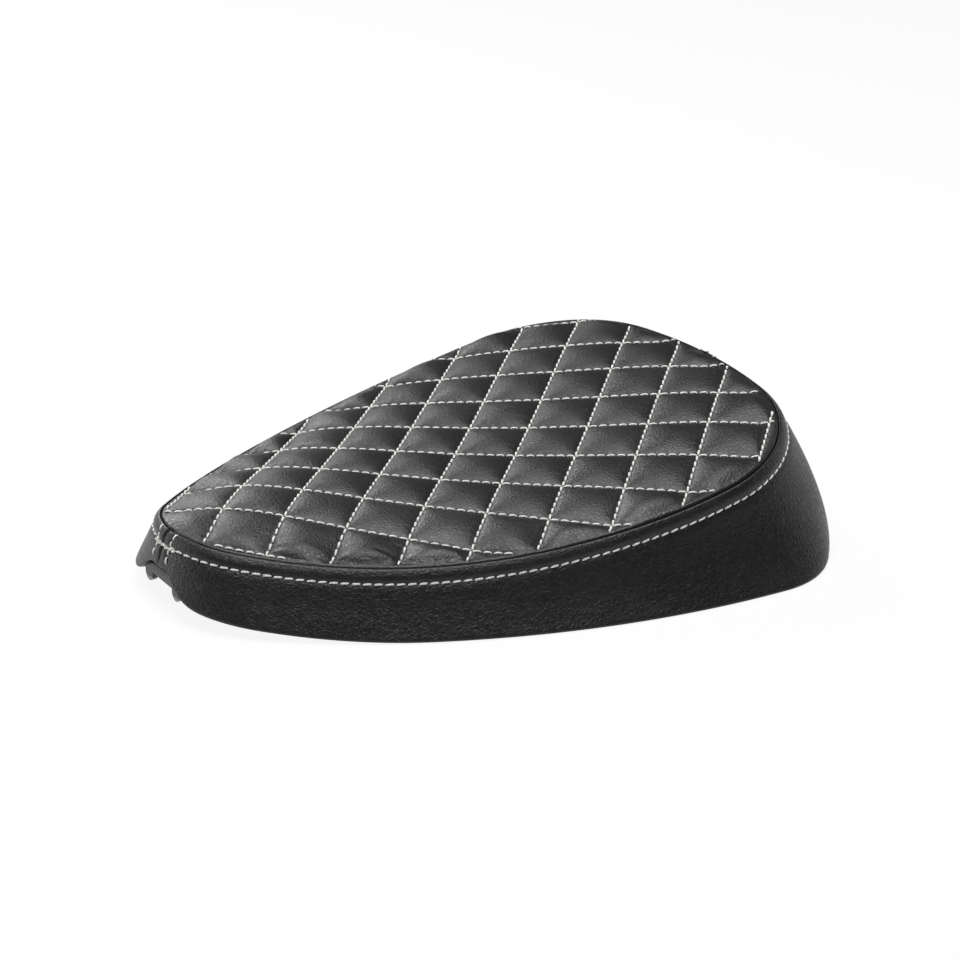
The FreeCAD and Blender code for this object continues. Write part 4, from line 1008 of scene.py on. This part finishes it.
def quilting_spans(row, lengthwise):
    """Stitches of one sewn line. They keep time with the lattice, so that lines cross between holes."""
    along = np.arange(FIRST_ROW * STITCHES_PER_SIDE, LAST_ROW * STITCHES_PER_SIDE) / STITCHES_PER_SIDE
    first = along + 0.5 * (1 - QUILT_STITCH_LENGTH / QUILT_STITCH) / STITCHES_PER_SIDE
    last = first + QUILT_STITCH_LENGTH / DIAMOND_SIDE
    ends = []
    for other in (first, last):
        i, j = (np.full_like(other, row), other) if lengthwise else (other, np.full_like(other, row))
        ends.append(np.stack([(i + j) * QUILT_PITCH / 2, (j - i) * QUILT_PITCH / 2], -1))
    gaps = [edge_gap(*place.T) - QUILT_END_GAP for place in ends]
    slope = gaps[1] - gaps[0]
    slope = np.where(np.abs(slope) < 1e-6, 1e-6, slope)
    cut = np.clip(-gaps[0] / slope, 0, 1)[:, None]
    crossing = ends[0] + (ends[1] - ends[0]) * cut
    places = [np.where(gap[:, None] < 0, crossing, place) for gap, place in zip(gaps, ends)]
    long_enough = np.linalg.norm(places[1] - places[0], axis=1) > QUILT_SHORTEST
    inside = (np.maximum(*gaps) > 0) & long_enough
    kept = (place[inside].T for place in places)
    start, end = (np.stack([x, y, cover_height(x, y)], -1) for x, y in kept)
    middle = (start + end) / 2
    return start, end, cover_normals(middle[:, 0], middle[:, 1])


for name, lengthwise in (("quilting_thread_a", True), ("quilting_thread_b", False)):
    build_thread(name, [quilting_spans(row, lengthwise) for row in range(FIRST_ROW, LAST_ROW + 1)])

# %% Topstitching round the band
TOP_STITCH_LENGTH = 4.75


def wall_normals(u, level):
    """Normal of the wall: its outward plan direction, tilted by how the wall leans between two levels."""
    x0, y0, nx, ny = wall_point(u, level - 0.5)
    x1, y1, _, _ = wall_point(u, level + 0.5)
    lean = (x1 - x0) * nx + (y1 - y0) * ny
    normal = np.stack([nx, ny, -lean], -1)
    return normal / np.linalg.norm(normal, axis=-1, keepdims=True)


def skirt_point(u, down):
    """Place on the skirt's outside at a distance down from the seam, with the wall's normal."""
    level = np.interp(u, ROUND, SEAM_Z) - down
    x, y, _, _ = wall_point(u, level)
    x, y, _, _ = wall_point(u, level, -skirt_relief(u, down, x, y))
    return np.stack([x, y, level], -1), wall_normals(u, level)


def half_round(side, low, high, count=900):
    """Values of u from a share of the way from nose to rear to another, on one side."""
    s = np.linspace(low, high, count)
    return s / 2 if side > 0 else 1 - s / 2


topstitching = [spans(*skirt_point(half_round(side, 0.001, 0.999), TOPSTITCH), TOP_PITCH, TOP_STITCH_LENGTH)
                for side in (1, -1)]
build_thread("topstitch_thread", topstitching, width=0.86)

# %% Upright seams at the nose and the rear
ROW_PITCH, ROW_STITCH_LENGTH = 4.4, 3.9


def upright_row(side, at_nose, row, low, high):
    """Row of stitches beside an upright seam: at each depth, the place on the wall whose distance from the
    middle plane is the row's."""
    down = np.linspace(low, high, 60)
    shares = np.linspace(0, 0.08, 200) if at_nose else np.linspace(1, 0.92, 200)
    u = []
    for d, distance in zip(down, np.broadcast_to(row(down), down.shape)):
        turns = shares / 2 if side > 0 else 1 - shares / 2
        level = np.interp(turns, ROUND, SEAM_Z) - d
        u.append(np.interp(distance, np.abs(wall_point(turns, level)[1]), turns))
    line, normals = skirt_point(np.array(u), down)
    return spans(line, normals, ROW_PITCH, ROW_STITCH_LENGTH)


nose_drop = SEAM_Z[0] - NOTCH_TOP
rear_drop = SEAM_Z[1200] - CORNER
nose_rows = [upright_row(side, True, lambda d: np.interp(d, *SEAM_ROW_SHAPE), 1.5, nose_drop - 0.2)
             for side in (1, -1)]
rear_rows = [upright_row(side, False, lambda d: REAR_ROW + 0 * d, 1.2, rear_drop - 2.0)
             for side in (1, -1)]
build_thread("nose_seam_thread", nose_rows, width=0.86)
build_thread("rear_seam_thread", rear_rows, width=0.86)


def back_tack():
    """Second pass over the topstitching between the nose rows, where the seam starts and ends."""
    u = np.linspace(-0.0085, 0.0085, 60) % 1.0
    line, normals = skirt_point(u, TOPSTITCH + 0.75)
    return spans(line, normals, 2.9, 2.7)


build_thread("back_tack_thread", [back_tack()], width=1.0, slant=0.45)

# %% [markdown]
# ## Foam core
# The foam shows only through the notch and the drain holes, but it is what the cover is pulled over, so it
# is there in full: a thick moulded shell with an open underside for the pan. Rings run up its outside,
# over the crown to the middle, and back along its hollow.

# %% Foam core
FOAM_COLUMNS = 360
CORE_INSET, CORE_DEPTH = 2.9, 10.9
PAN_INSET, PAN_DEPTH = 8.6, 19.6
RIM_TOP, NOTCH_RIM = 5.1, 1.8   # foot of the foam over the pan's rim, and over the nose notch
FOOT_BEVEL, FOOT_HEIGHT = 1.5, 1.0
DECK_DROP = 3.0                 # the hollow's corner lies this far under its deck
CROWN_SHARES = (0.985, 0.95, 0.88, 0.78, 0.65, 0.5, 0.35, 0.2, 0.08)
HOLLOW_SHARES = (0.08, 0.35, 0.6, 0.85, 0.97)


def build_foam():
    """Rings of (inset, level) up the side, shares of the way to the middle over the top and under it."""
    u = (np.arange(FOAM_COLUMNS) + 0.5) / FOAM_COLUMNS
    x, y, _, _ = wall_point(u, 10.0)
    hem, notch = hem_level(x, y)
    low = hem + RIM_TOP * (1 - notch) + NOTCH_RIM * notch
    seam = np.interp(u, ROUND, SEAM_Z)
    high = seam - CORE_DEPTH - 1.0
    rings = []

    def ring(level, inset):
        px, py, _, _ = wall_point(u, level, inset)
        rings.append(np.stack([px, py, level], -1))

    ring(low, CORE_INSET + FOOT_BEVEL)
    for share in np.linspace(0, 1, 10):
        ring(low + FOOT_HEIGHT + (high - low - FOOT_HEIGHT) * share, CORE_INSET)
    edge = rings[-1]
    for share in CROWN_SHARES:
        px, py = MIDDLE_X + (edge[:, 0] - MIDDLE_X) * share, edge[:, 1] * share
        rings.append(np.stack([px, py, top_height(px, py) - CORE_DEPTH], -1))
    top_count = len(rings)
    corner = np.maximum(seam - PAN_DEPTH - DECK_DROP, low + FOOT_HEIGHT)
    ix, iy, _, _ = wall_point(u, corner, PAN_INSET)
    for share in HOLLOW_SHARES:
        px, py = MIDDLE_X + (ix - MIDDLE_X) * share, iy * share
        rings.append(np.stack([px, py, top_height(px, py) - PAN_DEPTH], -1))
    for share in np.linspace(0, 1, 6):
        ring(corner * (1 - share) + (low + 0.2) * share, PAN_INSET)
    points = np.concatenate(rings)
    quads = grid_faces(len(rings), FOAM_COLUMNS, ring=True)
    inner = quads[:, 0] // FOAM_COLUMNS == top_count - 1
    poles, fans = [], []
    for row, lift in ((top_count - 1, CORE_DEPTH), (top_count, PAN_DEPTH)):
        loop = row * FOAM_COLUMNS + np.arange(FOAM_COLUMNS)
        pole = len(points) + len(poles)
        poles.append([MIDDLE_X, 0.0, float(top_height(np.array(MIDDLE_X), np.array(0.0))) - lift])
        fan = np.stack([loop, np.roll(loop, -1), np.full(FOAM_COLUMNS, pole)], -1)
        fans.append(fan if row == top_count - 1 else fan[:, ::-1])
    points = np.concatenate([points, np.array(poles)])
    first = np.arange(FOAM_COLUMNS)
    last = (len(rings) - 1) * FOAM_COLUMNS + first
    closing = np.stack([last, np.roll(last, -1), np.roll(first, -1), first], -1)
    body = np.concatenate([quads[~inner], closing])
    a, b, c = (points[body[:, k]] for k in range(3))
    side_rows = body[:, 0] < 10 * FOAM_COLUMNS
    middle = np.array([MIDDLE_X, 0, 20.0])
    outwards = np.sum(np.cross(b - a, c - b)[side_rows] * (a - middle)[side_rows]) > 0
    if not outwards:
        body, fans = body[:, ::-1], [f[:, ::-1] for f in fans]
    return make_piece("foam_body", points, [body, *fans], FOAM)


foam_body = build_foam()
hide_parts("foam_core")

# %% [markdown]
# ## Floor, background and light
# The photograph has a plain white ground. A floor and a sky whose colour is white to the camera give that
# without more light on the vinyl. The lamps are wide soft panels at a plain level: one overhead, one on the
# far side of the seat for the sheen on the pillows, one beside the nose, and a weak one off the rear.

# %% Floor and sky
def white_to_camera(tree, plain, strength_seen):
    """Mixes a plain look with white for the rays that a viewer, a mirror or glass would follow."""
    path = add(tree, "ShaderNodeLightPath").outputs
    seen = math_node(tree, "MAXIMUM", path["Is Camera Ray"],
                     math_node(tree, "MAXIMUM", path["Is Glossy Ray"], path["Is Transmission Ray"]))
    white = add(tree, "ShaderNodeEmission", {"Color": (1, 1, 1, 1), "Strength": 1.0}).outputs[0]
    share = math_node(tree, "MULTIPLY", seen, strength_seen)
    return add(tree, "ShaderNodeMixShader", {0: share, 1: plain, 2: white}).outputs[0]


def build_floor():
    """Large plain floor, a hair under the plane of the hem so that the two never share a surface."""
    half, level = 6.0, -0.0003
    mesh = bpy.data.meshes.new("floor")
    corners = [(x * half, y * half, level) for x, y in ((-1, -1), (1, -1), (1, 1), (-1, 1))]
    mesh.from_pydata(corners, [], [(0, 1, 2, 3)])
    floor = bpy.data.objects.new("floor", mesh)
    bpy.context.scene.collection.objects.link(floor)
    material = bpy.data.materials.new("studio floor")
    material.use_nodes = True
    tree = material.node_tree
    tree.nodes.clear()
    plain = add(tree, "ShaderNodeBsdfDiffuse", {"Color": (0.82, 0.82, 0.82, 1)}).outputs[0]
    output = add(tree, "ShaderNodeOutputMaterial")
    tree.links.new(white_to_camera(tree, plain, 0.9), output.inputs["Surface"])
    mesh.materials.append(material)


def build_sky(level):
    """Plain sky: dim for the light it gives, white where it is seen."""
    world = bpy.data.worlds.new("studio")
    bpy.context.scene.world = world
    world.use_nodes = True
    tree = world.node_tree
    tree.nodes.clear()
    dim = add(tree, "ShaderNodeBackground", {"Color": (1, 1, 1, 1), "Strength": level}).outputs[0]
    bright = add(tree, "ShaderNodeBackground", {"Color": (1, 1, 1, 1), "Strength": 1.0}).outputs[0]
    seen = add(tree, "ShaderNodeLightPath").outputs["Is Camera Ray"]
    mixed = add(tree, "ShaderNodeMixShader", {0: seen, 1: dim, 2: bright}).outputs[0]
    tree.links.new(mixed, add(tree, "ShaderNodeOutputWorld").inputs["Surface"])


build_floor()
build_sky(0.08)
print("floor and sky are set")

# %% Lamps
def soft_panel(name, place, aim, size, watts):
    """Square area lamp at a place, turned to look at a point."""
    lamp = bpy.data.lights.new(name, "AREA")
    lamp.shape, lamp.size, lamp.energy = "SQUARE", size, watts
    panel = bpy.data.objects.new(name, lamp)
    panel.location = place
    panel.rotation_euler = (Vector(aim) - Vector(place)).to_track_quat("-Z", "Y").to_euler()
    bpy.context.scene.collection.objects.link(panel)


soft_panel("overhead_panel", (-0.05, -0.05, 1.50), (0, 0, 0.03), 1.2, 27)
soft_panel("back_panel", (-0.05, 1.22, 0.66), (0, 0, 0.03), 0.7, 8.5)
soft_panel("nose_side_panel", (-1.00, 0.80, 0.35), (-0.1, 0, 0.03), 0.6, 3.5)
soft_panel("rear_edge_panel", (1.25, -0.05, 0.40), (0.1, 0, 0.03), 0.5, 1.2)
